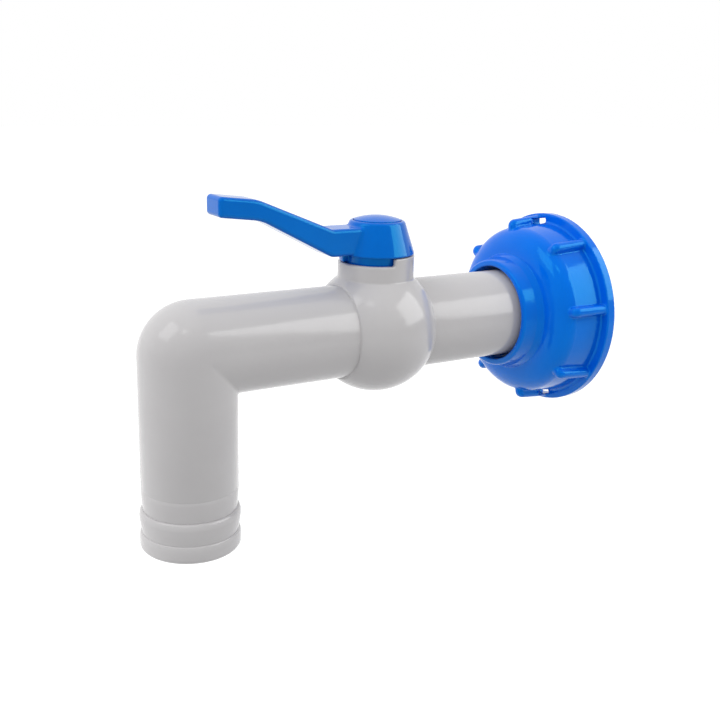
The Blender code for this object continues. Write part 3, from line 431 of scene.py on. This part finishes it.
def lever_form(x, y, z):
    """Lever with its hub, guide collar, stop lug and square drive hole."""
    x = x - BALL_X
    from_stem = np.hypot(x, y)
    form = outline_distance(from_stem, z, HUB_OUTLINE)
    arm = rounded_meet(outline_distance(-x, z, ARM_OUTLINE), np.abs(y) - ARM_WIDTH / 2, ARM_EDGE)
    form = smooth_min(form, arm, ARM_FILLET)
    pocket = np.maximum(from_stem - SCREW_POCKET_RADIUS, SCREW_POCKET_FLOOR - z)
    form = np.maximum(form, -pocket)

    front = STOP_ANGLE - QUARTER_TURN - STOP_PLAY
    gap = np.maximum(turned_side(front, x, y), -turned_side(front - LUG_SPAN, x, y))
    ring = np.maximum(from_stem - LUG_RADIUS, COLLAR_RADIUS - COLLAR_WALL / 2 - from_stem)
    height = np.maximum(LUG_BOTTOM - z, z - HUB_BOTTOM - LUG_OVERLAP)
    lug = rounded_meet(rounded_meet(gap, ring, LUG_EDGE), height, LUG_EDGE)
    form = smooth_min(form, lug, LUG_EDGE)
    square = np.maximum(np.abs(x), np.abs(y)) - DRIVE_HOLE / 2
    hole = np.maximum(square, z - SCREW_POCKET_FLOOR - HOLE_OVERCUT)
    return smooth_max(form, -hole, SMALL_EDGE)


# Meshes, lengths in millimetres
BLOCK = 4
CHUNK = 12000
THREADS = 4
SLOPE_STEP = 0.004
SLOPE_CORNERS = np.array(((1, 1, 1), (1, -1, -1), (-1, 1, -1), (-1, -1, 1)), float)
LEAST_SQUARE = 0.25
MARGIN = 0.1
CELL = 0.5
LEVER_CELL = 0.36
LEVER_BOX_HALF = 15
KEPT_FACES = 0.4
MERGE_DISTANCE = 0.002
SHORT_EDGE = 0.001
SHARP_DEGREES = 38


def in_chunks(form, points):
    """Distances at many points, worked out a stretch at a time."""
    stretches = [points[start:start + CHUNK] for start in range(0, len(points), CHUNK)]
    with ThreadPoolExecutor(THREADS) as pool:
        return np.concatenate(list(pool.map(lambda stretch: form(*stretch.T.copy()), stretches)))


def slopes(form, points):
    """Direction in which the distance grows, from small steps to the corners of a tetrahedron."""
    slope = np.zeros(points.shape)
    for corner in SLOPE_CORNERS:
        slope += corner * in_chunks(form, points + corner * SLOPE_STEP)[:, None]
    return slope / (4 * SLOPE_STEP)


def grid_values(form, low, cell, blocks):
    """Distances on a grid, exact near the surface only."""
    size = BLOCK * cell
    index = np.stack(np.meshgrid(*[np.arange(n) for n in blocks], indexing="ij"), axis=-1)
    index = index.reshape(-1, 3)
    middle = in_chunks(form, low + (index + 0.5) * size)
    values = middle.reshape(blocks).astype(np.float32)
    for axis in range(3):
        values = np.repeat(values, BLOCK, axis)
    near = index[np.abs(middle) < size * math.sqrt(3) / 2 + 2 * cell]
    local = np.stack(np.meshgrid(*[np.arange(BLOCK)] * 3, indexing="ij"), axis=-1)
    local = local.reshape(1, -1, 3)
    cells = (near[:, None, :] * BLOCK + local).reshape(-1, 3)
    values[tuple(cells.T)] = in_chunks(form, low + cells * cell)
    return values


def surface_net(values):
    """Points and four-sided faces of the surface where a grid of distances changes sign."""
    inside = values < 0
    shape = np.array(values.shape)
    crossings, owners, quads = [], [], []
    for axis in range(3):
        near = [slice(None)] * 3
        far = [slice(None)] * 3
        near[axis], far[axis] = slice(0, -1), slice(1, None)
        place = np.argwhere(inside[tuple(near)] != inside[tuple(far)])
        ahead = place.copy()
        ahead[:, axis] += 1
        first, second = values[tuple(place.T)], values[tuple(ahead.T)]
        crossing = place.astype(float)
        crossing[:, axis] += first / (first - second)
        second_axis, third_axis = (axis + 1) % 3, (axis + 2) % 3
        corners = []
        for back_second, back_third in ((0, 0), (1, 0), (1, 1), (0, 1)):
            corner = place.copy()
            corner[:, second_axis] -= back_second
            corner[:, third_axis] -= back_third
            corners.append((corner[:, 0] * shape[1] + corner[:, 1]) * shape[2] + corner[:, 2])
            crossings.append(crossing)
            owners.append(corners[-1])
        quad = np.stack(corners, axis=1)
        outward = inside[tuple(place.T)]
        quad[~outward] = quad[~outward][:, ::-1]
        quads.append(quad)
    owners = np.concatenate(owners)
    crossings = np.concatenate(crossings)
    used, owner = np.unique(owners, return_inverse=True)
    count = np.bincount(owner)
    points = np.stack([np.bincount(owner, crossings[:, axis]) / count for axis in range(3)], axis=1)
    return points, np.searchsorted(used, np.concatenate(quads))


def settle(form, points, rounds):
    """Moves points onto the surface, along the way that the distance grows."""
    for _ in range(rounds):
        slope = slopes(form, points)
        square = np.maximum(np.sum(slope * slope, axis=1), LEAST_SQUARE)
        points = points - slope * (in_chunks(form, points) / square)[:, None]
    return points


def link(name, data):
    obj = bpy.data.objects.new(name, data)
    bpy.context.scene.collection.objects.link(obj)
    return obj


def read_points(mesh):
    flat = np.empty(len(mesh.vertices) * 3)
    mesh.vertices.foreach_get("co", flat)
    return flat.reshape(-1, 3)


def apply_modifiers(obj):
    """Gives an object the mesh that its modifiers make of its own."""
    bpy.context.view_layer.update()
    depsgraph = bpy.context.evaluated_depsgraph_get()
    mesh = bpy.data.meshes.new_from_object(obj.evaluated_get(depsgraph))
    obj.modifiers.clear()
    obj.data = mesh
    return mesh


def shade(mesh, sharp_degrees):
    mesh.shade_smooth()
    mesh.set_sharp_from_angle(angle=math.radians(sharp_degrees))


def moulded(name, form, low, high, cell):
    """A smooth solid from a distance function, with fewer faces where it is nearly flat."""
    low = np.array(low) - 2 * cell
    blocks = tuple(int(math.ceil(n)) for n in (np.array(high) + 2 * cell - low) / (BLOCK * cell))
    points, quads = surface_net(grid_values(form, low, cell, blocks))
    points = settle(form, low + points * cell, 1)
    mesh = bpy.data.meshes.new(name)
    mesh.from_pydata(points.tolist(), [], quads.tolist())
    obj = link(name, mesh)
    thin = obj.modifiers.new("Thin", "DECIMATE")
    thin.ratio = KEPT_FACES
    mesh = apply_modifiers(obj)
    mesh.name = name
    points = settle(form, read_points(mesh), 2)
    normals = slopes(form, points)
    normals /= np.linalg.norm(normals, axis=1)[:, None]
    mesh.vertices.foreach_set("co", (points * MM).ravel())
    mesh.shade_smooth()
    mesh.normals_split_custom_set_from_vertices(normals.tolist())
    mesh.update()
    return obj


def skin(name, rings):
    """A closed solid from a loop of rings, each ring a list of points in millimetres."""
    work = bmesh.new()
    loops = [[work.verts.new(Vector(point) * MM) for point in ring] for ring in rings]
    for loop, following in zip(loops, loops[1:] + loops[:1]):
        for side in range(len(loop)):
            after = (side + 1) % len(loop)
            work.faces.new((loop[side], following[side], following[after], loop[after]))
    bmesh.ops.remove_doubles(work, verts=work.verts, dist=MERGE_DISTANCE * MM)
    bmesh.ops.dissolve_degenerate(work, edges=work.edges, dist=SHORT_EDGE * MM)
    bmesh.ops.recalc_face_normals(work, faces=work.faces)
    mesh = bpy.data.meshes.new(name)
    work.to_mesh(mesh)
    work.free()
    shade(mesh, SHARP_DEGREES)
    return link(name, mesh)


def ring_angles():
    return [FULL_TURN * side / PIPE_SIDES for side in range(PIPE_SIDES)]


def ring_x(radius, x):
    """Ring about the pipe's axis."""
    return [(x, radius * math.sin(a), radius * math.cos(a)) for a in ring_angles()]


def turned_x(name, outline, centre=BALL_X):
    """Turned about the pipe's axis from (radius, distance towards the tank) points."""
    return skin(name, [ring_x(radius, centre + reach) for radius, reach in outline])


def turned_z(name, outline):
    """Turned about the stem from (radius, height) points."""
    rings = []
    for radius, height in outline:
        rings.append([
            (BALL_X + radius * math.cos(a), radius * math.sin(a), height) for a in ring_angles()])
    return skin(name, rings)


def run_ring(radius, distance):
    """Ring round the pipe, at a distance from the ball away from the tank."""
    return ring_x(radius, BALL_X - distance)


def drop_ring(radius, depth):
    """Ring round the spout, at a depth below the ball's centre."""
    x = BALL_X + SPOUT_X
    return [(x - radius * math.cos(a), radius * math.sin(a), -depth) for a in ring_angles()]


def bend_ring(radius, turn):
    """Ring part of the way round the bend, with a small fillet where the pipes meet inside it."""
    points = []
    for angle in ring_angles():
        reach = BEND_RADIUS + radius * math.cos(angle)
        fillet = min(MITRE_FILLET, max(-reach, 0))
        if reach < 0:
            across = reach - fillet + fillet * math.sin(turn)
            up = reach - fillet + fillet * math.cos(turn)
        else:
            across, up = reach * math.sin(turn), reach * math.cos(turn)
        x = BALL_X + SPOUT_X + BEND_RADIUS - across
        points.append((x, radius * math.sin(angle), up - BEND_RADIUS))
    return points


def spigot_bore():
    """Inside of a tail, from its end in the housing outwards."""
    web_end = POCKET_FLOOR + WEB_THICKNESS
    return [
        (POCKET_RADIUS + SMALL_EDGE, SPIGOT_START), (POCKET_RADIUS, SPIGOT_START + SMALL_EDGE),
        (POCKET_RADIUS, POCKET_FLOOR), (SEAT_BORE + SMALL_EDGE, POCKET_FLOOR),
        (SEAT_BORE, POCKET_FLOOR + SMALL_EDGE), (SEAT_BORE, web_end),
        (PIPE_BORE, web_end + WEB_TAPER),
    ]


def barb_shoulder(above, top, steps=12):
    """Rounded upper shoulder of a barb as (radius, depth), from the waist above it to its crest."""
    points = []
    for step in range(1, steps + 1):
        angle = QUARTER_TURN * step / steps
        radius = above + (BARB_CREST - above) * math.sin(angle) ** BARB_SHOULDER_POWER
        points.append((radius, top + BARB_SHOULDER * (1 - math.cos(angle))))
    return points


def make_elbow():
    """Elbow with a sharp inner corner, a rounded outer one and a hose tail with two barbs."""
    last_top = SPOUT_END - LAST_BARB_HEIGHT
    first_top = last_top - BARB_HEIGHT
    line = first_top - SPOUT_LINE_ABOVE
    outside = [
        (PIPE_RADIUS, line - SPOUT_LINE_HALF), (PIPE_RADIUS - SPOUT_LINE_DEPTH, line),
        (PIPE_RADIUS, line + SPOUT_LINE_HALF), (PIPE_RADIUS, first_top - WAIST_LENGTH),
    ]
    barbs = ((BARB_WAIST, first_top, WAIST_EASE), (BARB_FOOT, last_top, FOOT_EASE))
    for foot, top, (ease_out, ease_up) in barbs:
        outside += [(foot + ease_out, top - ease_up), (foot, top)] + barb_shoulder(foot, top)
    for step in range(SPOUT_LIP_STEPS + 1):
        angle = QUARTER_TURN * step / SPOUT_LIP_STEPS
        radius = BARB_CREST - SPOUT_LIP + SPOUT_LIP * math.cos(angle)
        outside.append((radius, SPOUT_END - SPOUT_LIP + SPOUT_LIP * math.sin(angle)))
    outside += [(PIPE_BORE + SMALL_EDGE, SPOUT_END), (PIPE_BORE, SPOUT_END - SMALL_EDGE)]
    turns = [QUARTER_TURN * step / BEND_STEPS for step in range(BEND_STEPS + 1)]
    rings = [run_ring(PIPE_RADIUS - SMALL_EDGE, SPIGOT_START)]
    rings += [run_ring(PIPE_RADIUS, SPIGOT_START + SMALL_EDGE)]
    rings += [bend_ring(PIPE_RADIUS, turn) for turn in turns]
    rings += [drop_ring(radius, depth) for radius, depth in outside]
    rings += [bend_ring(PIPE_BORE, turn) for turn in reversed(turns)]
    rings += [run_ring(radius, distance) for radius, distance in reversed(spigot_bore())]
    return skin("elbow_pipe", rings)


def make_inlet():
    """Straight pipe with the flange that the nut pulls against the tank."""
    face = -BALL_X - TAIL_FACE
    front = -BALL_X - TAIL_FLANGE_FRONT
    outline = rounded_outline([
        (PIPE_BORE, face, TAIL_SMALL_EDGE), (TAIL_FLANGE_RADIUS, face, TAIL_EDGE),
        (TAIL_FLANGE_RADIUS, front, TAIL_SMALL_EDGE), (PIPE_RADIUS, front, TAIL_EDGE),
        (PIPE_RADIUS, SPIGOT_START, SMALL_EDGE),
    ] + [(radius, reach, 0) for radius, reach in spigot_bore()], steps=5)
    return turned_x("inlet_pipe", outline)


def make_gasket():
    outline = rounded_outline([
        (GASKET_INNER, -GASKET_BACK, GASKET_EDGE), (GASKET_OUTER, -GASKET_BACK, GASKET_EDGE),
        (GASKET_OUTER, -GASKET_FRONT, GASKET_EDGE), (GASKET_INNER, -GASKET_FRONT, GASKET_EDGE),
    ], steps=3)
    return turned_x("gasket_ring", outline, centre=0)


def make_ball():
    """Ball with its bore and the slot for the stem's tongue."""
    reach = math.sqrt(BALL_RADIUS ** 2 - BALL_BORE ** 2)
    last = math.asin(reach / BALL_RADIUS)
    angles = [last - 2 * last * step / BALL_STEPS for step in range(BALL_STEPS + 1)]
    outline = [(BALL_RADIUS * math.cos(a), BALL_RADIUS * math.sin(a)) for a in angles]
    outline = [(BALL_BORE, reach - SMALL_EDGE)] + outline[1:-1] + [(BALL_BORE, SMALL_EDGE - reach)]
    ball = turned_x("bored_ball", outline)
    box = bmesh.new()
    bmesh.ops.create_cube(box, size=1)
    place = Matrix.Translation(Vector((BALL_X, 0, BALL_RADIUS)) * MM)
    size = (SLOT_WIDTH * MM, 2 * BALL_RADIUS * MM, 2 * SLOT_DEPTH * MM)
    box.transform(place @ Matrix.Diagonal((*size, 1)))
    cutter = link("slot_cutter", bpy.data.meshes.new("slot_cutter"))
    box.to_mesh(cutter.data)
    box.free()
    cut = ball.modifiers.new("Slot", "BOOLEAN")
    cut.operation = "DIFFERENCE"
    cut.object = cutter
    mesh = apply_modifiers(ball)
    bpy.data.objects.remove(cutter)
    shade(mesh, SLOT_SHARP_DEGREES)
    return ball


def make_seat(name, side):
    """Seat ring with a hollow spherical face to the ball."""
    contact = BALL_RADIUS + CLEARANCE
    bore_end = math.sqrt(contact ** 2 - SEAT_BORE ** 2)
    first, last = math.asin(SEAT_FRONT / contact), math.asin(bore_end / contact)
    face = [first + (last - first) * step / SEAT_STEPS for step in range(SEAT_STEPS + 1)]
    outline = [(SEAT_OUTER, side * SEAT_BACK), (SEAT_OUTER, side * SEAT_FRONT)]
    outline += [(contact * math.cos(a), side * contact * math.sin(a)) for a in face]
    outline += [(SEAT_BORE, side * SEAT_BACK)]
    return turned_x(name, outline)


def make_cap():
    """Domed cap in the hub's top."""
    crown = CAP_CROWN - CAP_EDGE
    dome_radius = (CAP_RADIUS ** 2 + crown ** 2) / (2 * crown)
    half = math.asin(CAP_RADIUS / dome_radius)
    dome = []
    for step in range(CAP_STEPS):
        angle = half * step / CAP_STEPS
        height = CAP_CROWN - dome_radius + dome_radius * math.cos(angle)
        dome.append((max(dome_radius * math.sin(angle), LEAST_RADIUS), height, 0))
    inner = CAP_PLUG_RADIUS - CAP_PLUG_WALL
    rest = CAP_SEAT + CLEARANCE
    end = CAP_SEAT - CAP_PLUG_LENGTH
    ceiling = CAP_CROWN - CAP_THICKNESS
    outline = rounded_outline(dome + [
        (CAP_RADIUS, CAP_EDGE, SMALL_EDGE), (CAP_RADIUS, rest, CAP_RIM_EDGE),
        (CAP_PLUG_RADIUS, rest, CAP_RIM_EDGE), (CAP_PLUG_RADIUS, end, CAP_PLUG_EDGE),
        (inner, end, CAP_PLUG_EDGE), (inner, ceiling, CAP_CEILING_EDGE), (LEAST_RADIUS, ceiling, 0),
    ], steps=5)
    return turned_z("hub_cap", outline)


# Materials, noise scales for one metre and depths in metres
NOISE_SPAN = (0.3, 0.7)
BLEND_SPAN = (0.35, 0.65)
CLOUD_SCALE = 45
FLOW_SCALE = 70
SPECK_SCALE = 260.0
SPECK_RADIUS = 0.05
SPECK_SHADE = 0.6
ROUGHNESS_SCALE = 130
SKIN_SCALE = 520
SWELL_SCALE = 120
SWELL_HEIGHT = 4
PEEL_DEPTH = 0.0004
PLASTIC_IOR = 1.5
BLUE_TINT = (0.08, 0.95, 0.95, 1.0)
RUBBER_SCALE = 900
RUBBER_DEPTH = 0.0002
SCRATCH_SCALE = 1500
SCRATCH_STRETCH = (1, 1, 14)
SCRATCH_DEPTH = 0.0001
WHITE = (1, 1, 1, 1)


def add(tree, kind, inputs=None, **settings):
    """A shader node with its settings and its inputs, which are values or other nodes' outputs."""
    node = tree.nodes.new(kind)
    for key, value in settings.items():
        setattr(node, key, value)
    for key, value in (inputs or {}).items():
        if isinstance(value, bpy.types.NodeSocket):
            tree.links.new(value, node.inputs[key])
        else:
            node.inputs[key].default_value = value
    return node


def new_material(name):
    made = bpy.data.materials.new(name)
    made.use_nodes = True
    made.node_tree.nodes.clear()
    return made, made.node_tree


def noise(tree, vector, scale, detail, roughness=0.5):
    node = add(tree, "ShaderNodeTexNoise", {
        "Vector": vector, "Scale": scale, "Detail": detail, "Roughness": roughness})
    return node.outputs["Fac"]


def mapped(tree, value, low, high, to_low, to_high):
    node = add(tree, "ShaderNodeMapRange", {
        "Value": value, "From Min": low, "From Max": high, "To Min": to_low, "To Max": to_high})
    return node.outputs["Result"]


def mixed(tree, share, first, second):
    """A mix of two colours. A mix node's colours are its inputs 6 and 7 and its output 2."""
    return add(tree, "ShaderNodeMix", {0: share, 6: first, 7: second}, data_type="RGBA").outputs[2]


def math_node(tree, operation, first, second):
    return add(tree, "ShaderNodeMath", {0: first, 1: second}, operation=operation).outputs[0]


def shows_background(tree):
    """One for a ray by which the camera, a reflection or a clear piece shows the background."""
    rays = add(tree, "ShaderNodeLightPath").outputs
    direct = math_node(tree, "MAXIMUM", rays["Is Camera Ray"], rays["Is Glossy Ray"])
    return math_node(tree, "MAXIMUM", direct, rays["Is Transmission Ray"])


def coat(tree, colour, rough, height, strength, depth, more=None):
    """Ends a material with its surface, whose skin is uneven by a height."""
    bump = add(tree, "ShaderNodeBump", {"Height": height, "Strength": strength, "Distance": depth})
    inputs = {"Base Color": colour, "Roughness": rough, "Normal": bump.outputs["Normal"]}
    shader = add(tree, "ShaderNodeBsdfPrincipled", {**inputs, **(more or {})})
    add(tree, "ShaderNodeOutputMaterial", {"Surface": shader.outputs["BSDF"]})


def plastic(name, colour, darker, smooth, dull, peel, specks=0.0, stretch=(1, 1, 1), tint=WHITE):
    """Moulded plastic: cloudy colour, flow streaks, a faintly uneven skin and a few dark specks.

    Smooth and dull are its least and greatest roughness. Specks is the share of cells with one.
    """
    made, tree = new_material(name)
    coords = add(tree, "ShaderNodeTexCoord").outputs["Object"]
    streaks = add(tree, "ShaderNodeMapping", {"Vector": coords, "Scale": stretch}).outputs["Vector"]
    cloud = math_node(tree, "MULTIPLY", noise(tree, coords, CLOUD_SCALE, 4), 0.5)
    flow = math_node(tree, "MULTIPLY", noise(tree, streaks, FLOW_SCALE, 3, 0.6), 0.5)
    blend = math_node(tree, "ADD", cloud, flow)
    colour_out = mixed(tree, mapped(tree, blend, *BLEND_SPAN, 0, 1), darker, colour)
    if specks:
        cells = add(tree, "ShaderNodeTexVoronoi", {"Vector": coords, "Scale": SPECK_SCALE})
        dot = math_node(tree, "LESS_THAN", cells.outputs["Distance"], SPECK_RADIUS)
        pick = add(tree, "ShaderNodeSeparateColor", {"Color": cells.outputs["Color"]})
        rare = math_node(tree, "LESS_THAN", pick.outputs["Red"], specks)
        dark = [channel * SPECK_SHADE for channel in colour[:3]] + [1]
        colour_out = mixed(tree, math_node(tree, "MULTIPLY", dot, rare), colour_out, dark)
    patches = noise(tree, coords, ROUGHNESS_SCALE, 5, 0.6)
    rough = mapped(tree, patches, *NOISE_SPAN, smooth, dull)
    fine = noise(tree, coords, SKIN_SCALE, 2, 0.5)
    swell = math_node(tree, "MULTIPLY", noise(tree, streaks, SWELL_SCALE, 2, 0.5), SWELL_HEIGHT)
    height = math_node(tree, "ADD", fine, swell)
    more = {"IOR": PLASTIC_IOR, "Specular Tint": tint}
    coat(tree, colour_out, rough, height, peel, PEEL_DEPTH, more)
    return made


def rubber_material():
    made, tree = new_material("black_rubber")
    coords = add(tree, "ShaderNodeTexCoord").outputs["Object"]
    grain = noise(tree, coords, RUBBER_SCALE, 4, 0.6)
    colour = mixed(tree, grain, (0.018, 0.018, 0.018, 1), (0.045, 0.045, 0.045, 1))
    rough = mapped(tree, grain, *NOISE_SPAN, 0.55, 0.75)
    coat(tree, colour, rough, grain, 0.3, RUBBER_DEPTH)
    return made


def steel_material():
    made, tree = new_material("bright_steel")
    coords = add(tree, "ShaderNodeTexCoord").outputs["Object"]
    stretched = add(tree, "ShaderNodeMapping", {"Vector": coords, "Scale": SCRATCH_STRETCH})
    grain = noise(tree, stretched.outputs["Vector"], SCRATCH_SCALE, 3, 0.6)
    colour = mixed(tree, grain, (0.5, 0.5, 0.52, 1), (0.66, 0.66, 0.67, 1))
    rough = mapped(tree, grain, *NOISE_SPAN, 0.2, 0.4)
    coat(tree, colour, rough, grain, 0.1, SCRATCH_DEPTH, {"Metallic": 1.0})
    return made


SLOT_LOOKS = {
    "grey_plastic": plastic(
        "grey_pipe_plastic", (0.50, 0.49, 0.495, 1), (0.48, 0.468, 0.475, 1),
        smooth=0.12, dull=0.18, peel=0.05, specks=0.01, stretch=(0.3, 1, 1)),
    "blue_nut_plastic": plastic(
        "nut_blue_plastic", (0.0, 0.124, 0.7, 1), (0.0, 0.113, 0.66, 1),
        smooth=0.08, dull=0.13, peel=0.04, tint=BLUE_TINT),
    "blue_lever_plastic": plastic(
        "lever_blue_plastic", (0.0, 0.11, 0.57, 1), (0.0, 0.1, 0.53, 1),
        smooth=0.08, dull=0.13, peel=0.04, tint=BLUE_TINT),
    "seat_plastic": plastic(
        "seat_white_plastic", (0.84, 0.84, 0.81, 1), (0.78, 0.78, 0.75, 1),
        smooth=0.3, dull=0.4, peel=0.03),
    "ball_plastic": plastic(
        "ball_grey_plastic", (0.58, 0.58, 0.58, 1), (0.54, 0.54, 0.54, 1),
        smooth=0.14, dull=0.22, peel=0.03),
    "rubber": rubber_material(),
    "steel": steel_material(),
}
replaced = set()


def paint(mesh, slot):
    mesh.materials.clear()
    mesh.materials.append(SLOT_LOOKS[slot])


def dress(obj, body, node, slot):
    """Puts a new piece in the place of a solid."""
    replaced.add(node)
    paint(obj.data, slot)
    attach(obj, body)
    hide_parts(node)


reach = FLANGE_RADIUS + MARGIN
nut = moulded(
    "ribbed_nut", nut_form, (-NUT_LENGTH - MARGIN, -reach, -reach), (MARGIN, reach, reach), CELL)
dress(nut, "nut", "swivel_nut", "blue_nut_plastic")

reach, half = HOUSING_RADIUS + MARGIN, WELD_SLEEVE_END + MARGIN
housing = moulded(
    "housing_shell", housing_form, (BALL_X - half, -reach, -reach),
    (BALL_X + half, reach, NECK_TOP + MARGIN), CELL)
dress(housing, "valve_body", "valve_housing", "grey_plastic")

lever = moulded(
    "turning_lever", lever_form,
    (BALL_X - ARM_REACH - MARGIN, -LEVER_BOX_HALF, COLLAR_BOTTOM - MARGIN),
    (BALL_X + LEVER_BOX_HALF, LEVER_BOX_HALF, ARM_TIP_TOP + MARGIN), LEVER_CELL)
dress(lever, "handle", "lever_handle", "blue_lever_plastic")

dress(make_elbow(), "valve_body", "elbow_spout", "grey_plastic")
dress(make_inlet(), "valve_body", "inlet_tail", "grey_plastic")
dress(make_gasket(), "valve_body", "flat_gasket", "rubber")
dress(make_ball(), "handle", "ball", "ball_plastic")
dress(make_seat("inlet_seat_face", 1), "valve_body", "inlet_seat", "seat_plastic")
dress(make_seat("outlet_seat_face", -1), "valve_body", "outlet_seat", "seat_plastic")
dress(make_cap(), "handle", "handle_cap", "blue_lever_plastic")

for row in frame["record"]["subparts"]:
    if row["node"] not in replaced:
        paint(frame["nodes"][row["node"]].data, row["material_slot"])


def make_camera():
    """Camera with the photo's place and lens, worked out from its ellipses and straight edges."""
    camera = bpy.data.cameras.new("camera")
    camera.lens = CAMERA_LENS
    camera.sensor_width = CAMERA_SENSOR
    camera.clip_start, camera.clip_end = CAMERA_CLIP
    obj = link("camera", camera)
    up = CAMERA_RIGHT.cross(CAMERA_AHEAD)
    turn = Matrix((CAMERA_RIGHT, up, -CAMERA_AHEAD)).transposed().to_4x4()
    obj.matrix_world = Matrix.Translation(CAMERA_PLACE) @ turn
    bpy.context.scene.camera = obj


# Light and floor, in metres
LIGHT_CENTRE = Vector((-0.09, 0, 0))
LAMP_DISTANCE = 1.2
WATTS_TO_WHITE = 4
WORLD_LEVEL = 0.83
WORLD_TILT = (-0.72, 0.5, 0.15)
FLOOR_HEIGHT = -0.16
FLOOR_SIZE = 8.0
FLOOR_PARTS = 8
FLOOR_CLOUD_SCALE = 6
FLOOR_SHADES = ((0.47, 0.47, 0.47, 1), (0.49, 0.49, 0.49, 1))
FLOOR_GLOW = 0.68


def lamp(name, azimuth, elevation, width, height, level):
    """Soft rectangular lamp, its direction and size in degrees. At level 1 its face looks white."""
    azimuth, elevation = math.radians(azimuth), math.radians(elevation)
    ground = math.cos(elevation)
    away = Vector((ground * math.cos(azimuth), ground * math.sin(azimuth), math.sin(elevation)))
    light = bpy.data.lights.new(name, "AREA")
    light.shape = "RECTANGLE"
    light.size = 2 * LAMP_DISTANCE * math.tan(math.radians(width) / 2)
    light.size_y = 2 * LAMP_DISTANCE * math.tan(math.radians(height) / 2)
    light.energy = level * WATTS_TO_WHITE * light.size * light.size_y
    obj = link(name, light)
    obj.location = LIGHT_CENTRE + away * LAMP_DISTANCE
    obj.rotation_euler = (-away).to_track_quat("-Z", "Y").to_euler()


def make_world():
    """Pale surround: white where it is seen or mirrored, and brightest to the left, at the back."""
    world = bpy.data.worlds.new("studio")
    bpy.context.scene.world = world
    world.use_nodes = True
    tree = world.node_tree
    tree.nodes.clear()
    direction = add(tree, "ShaderNodeTexCoord").outputs["Generated"]
    inputs = {0: direction, 1: WORLD_TILT}
    along = add(tree, "ShaderNodeVectorMath", inputs, operation="DOT_PRODUCT")
    level = math_node(tree, "ADD", along.outputs["Value"], WORLD_LEVEL)
    level = math_node(tree, "MAXIMUM", level, 0.0)
    soft = add(tree, "ShaderNodeBackground", {"Color": WHITE, "Strength": level})
    white = add(tree, "ShaderNodeBackground", {"Color": WHITE, "Strength": 1.0})
    seen = shows_background(tree)
    mix = add(tree, "ShaderNodeMixShader", {0: seen, 1: soft.outputs[0], 2: white.outputs[0]})
    add(tree, "ShaderNodeOutputWorld", {"Surface": mix.outputs[0]})


def make_floor():
    """Plain pale floor. Its own glow brings it to white where no shadow falls."""
    work = bmesh.new()
    bmesh.ops.create_grid(
        work, x_segments=FLOOR_PARTS, y_segments=FLOOR_PARTS, size=FLOOR_SIZE / 2)
    mesh = bpy.data.meshes.new("floor")
    work.to_mesh(mesh)
    work.free()
    floor = link("floor", mesh)
    floor.location = (0, 0, FLOOR_HEIGHT)
    made, tree = new_material("pale_floor")
    coords = add(tree, "ShaderNodeTexCoord").outputs["Object"]
    colour = mixed(tree, noise(tree, coords, FLOOR_CLOUD_SCALE, 2), *FLOOR_SHADES)
    matt = add(tree, "ShaderNodeBsdfDiffuse", {"Color": colour})
    glow = add(tree, "ShaderNodeEmission", {"Color": WHITE, "Strength": FLOOR_GLOW})
    lit = add(tree, "ShaderNodeAddShader", {0: matt.outputs[0], 1: glow.outputs[0]})
    seen = shows_background(tree)
    mix = add(tree, "ShaderNodeMixShader", {0: seen, 1: matt.outputs[0], 2: lit.outputs[0]})
    add(tree, "ShaderNodeOutputMaterial", {"Surface": mix.outputs[0]})
    mesh.materials.append(made)


make_camera()
make_world()
make_floor()
lamp("main_softbox", azimuth=-38, elevation=29, width=46, height=38, level=2.5)
lamp("left_softbox", azimuth=176, elevation=45, width=28, height=30, level=1.5)
lamp("front_top_softbox", azimuth=-135, elevation=55, width=12, height=8, level=1.8)

bpy.context.scene.view_settings.view_transform = "Standard"
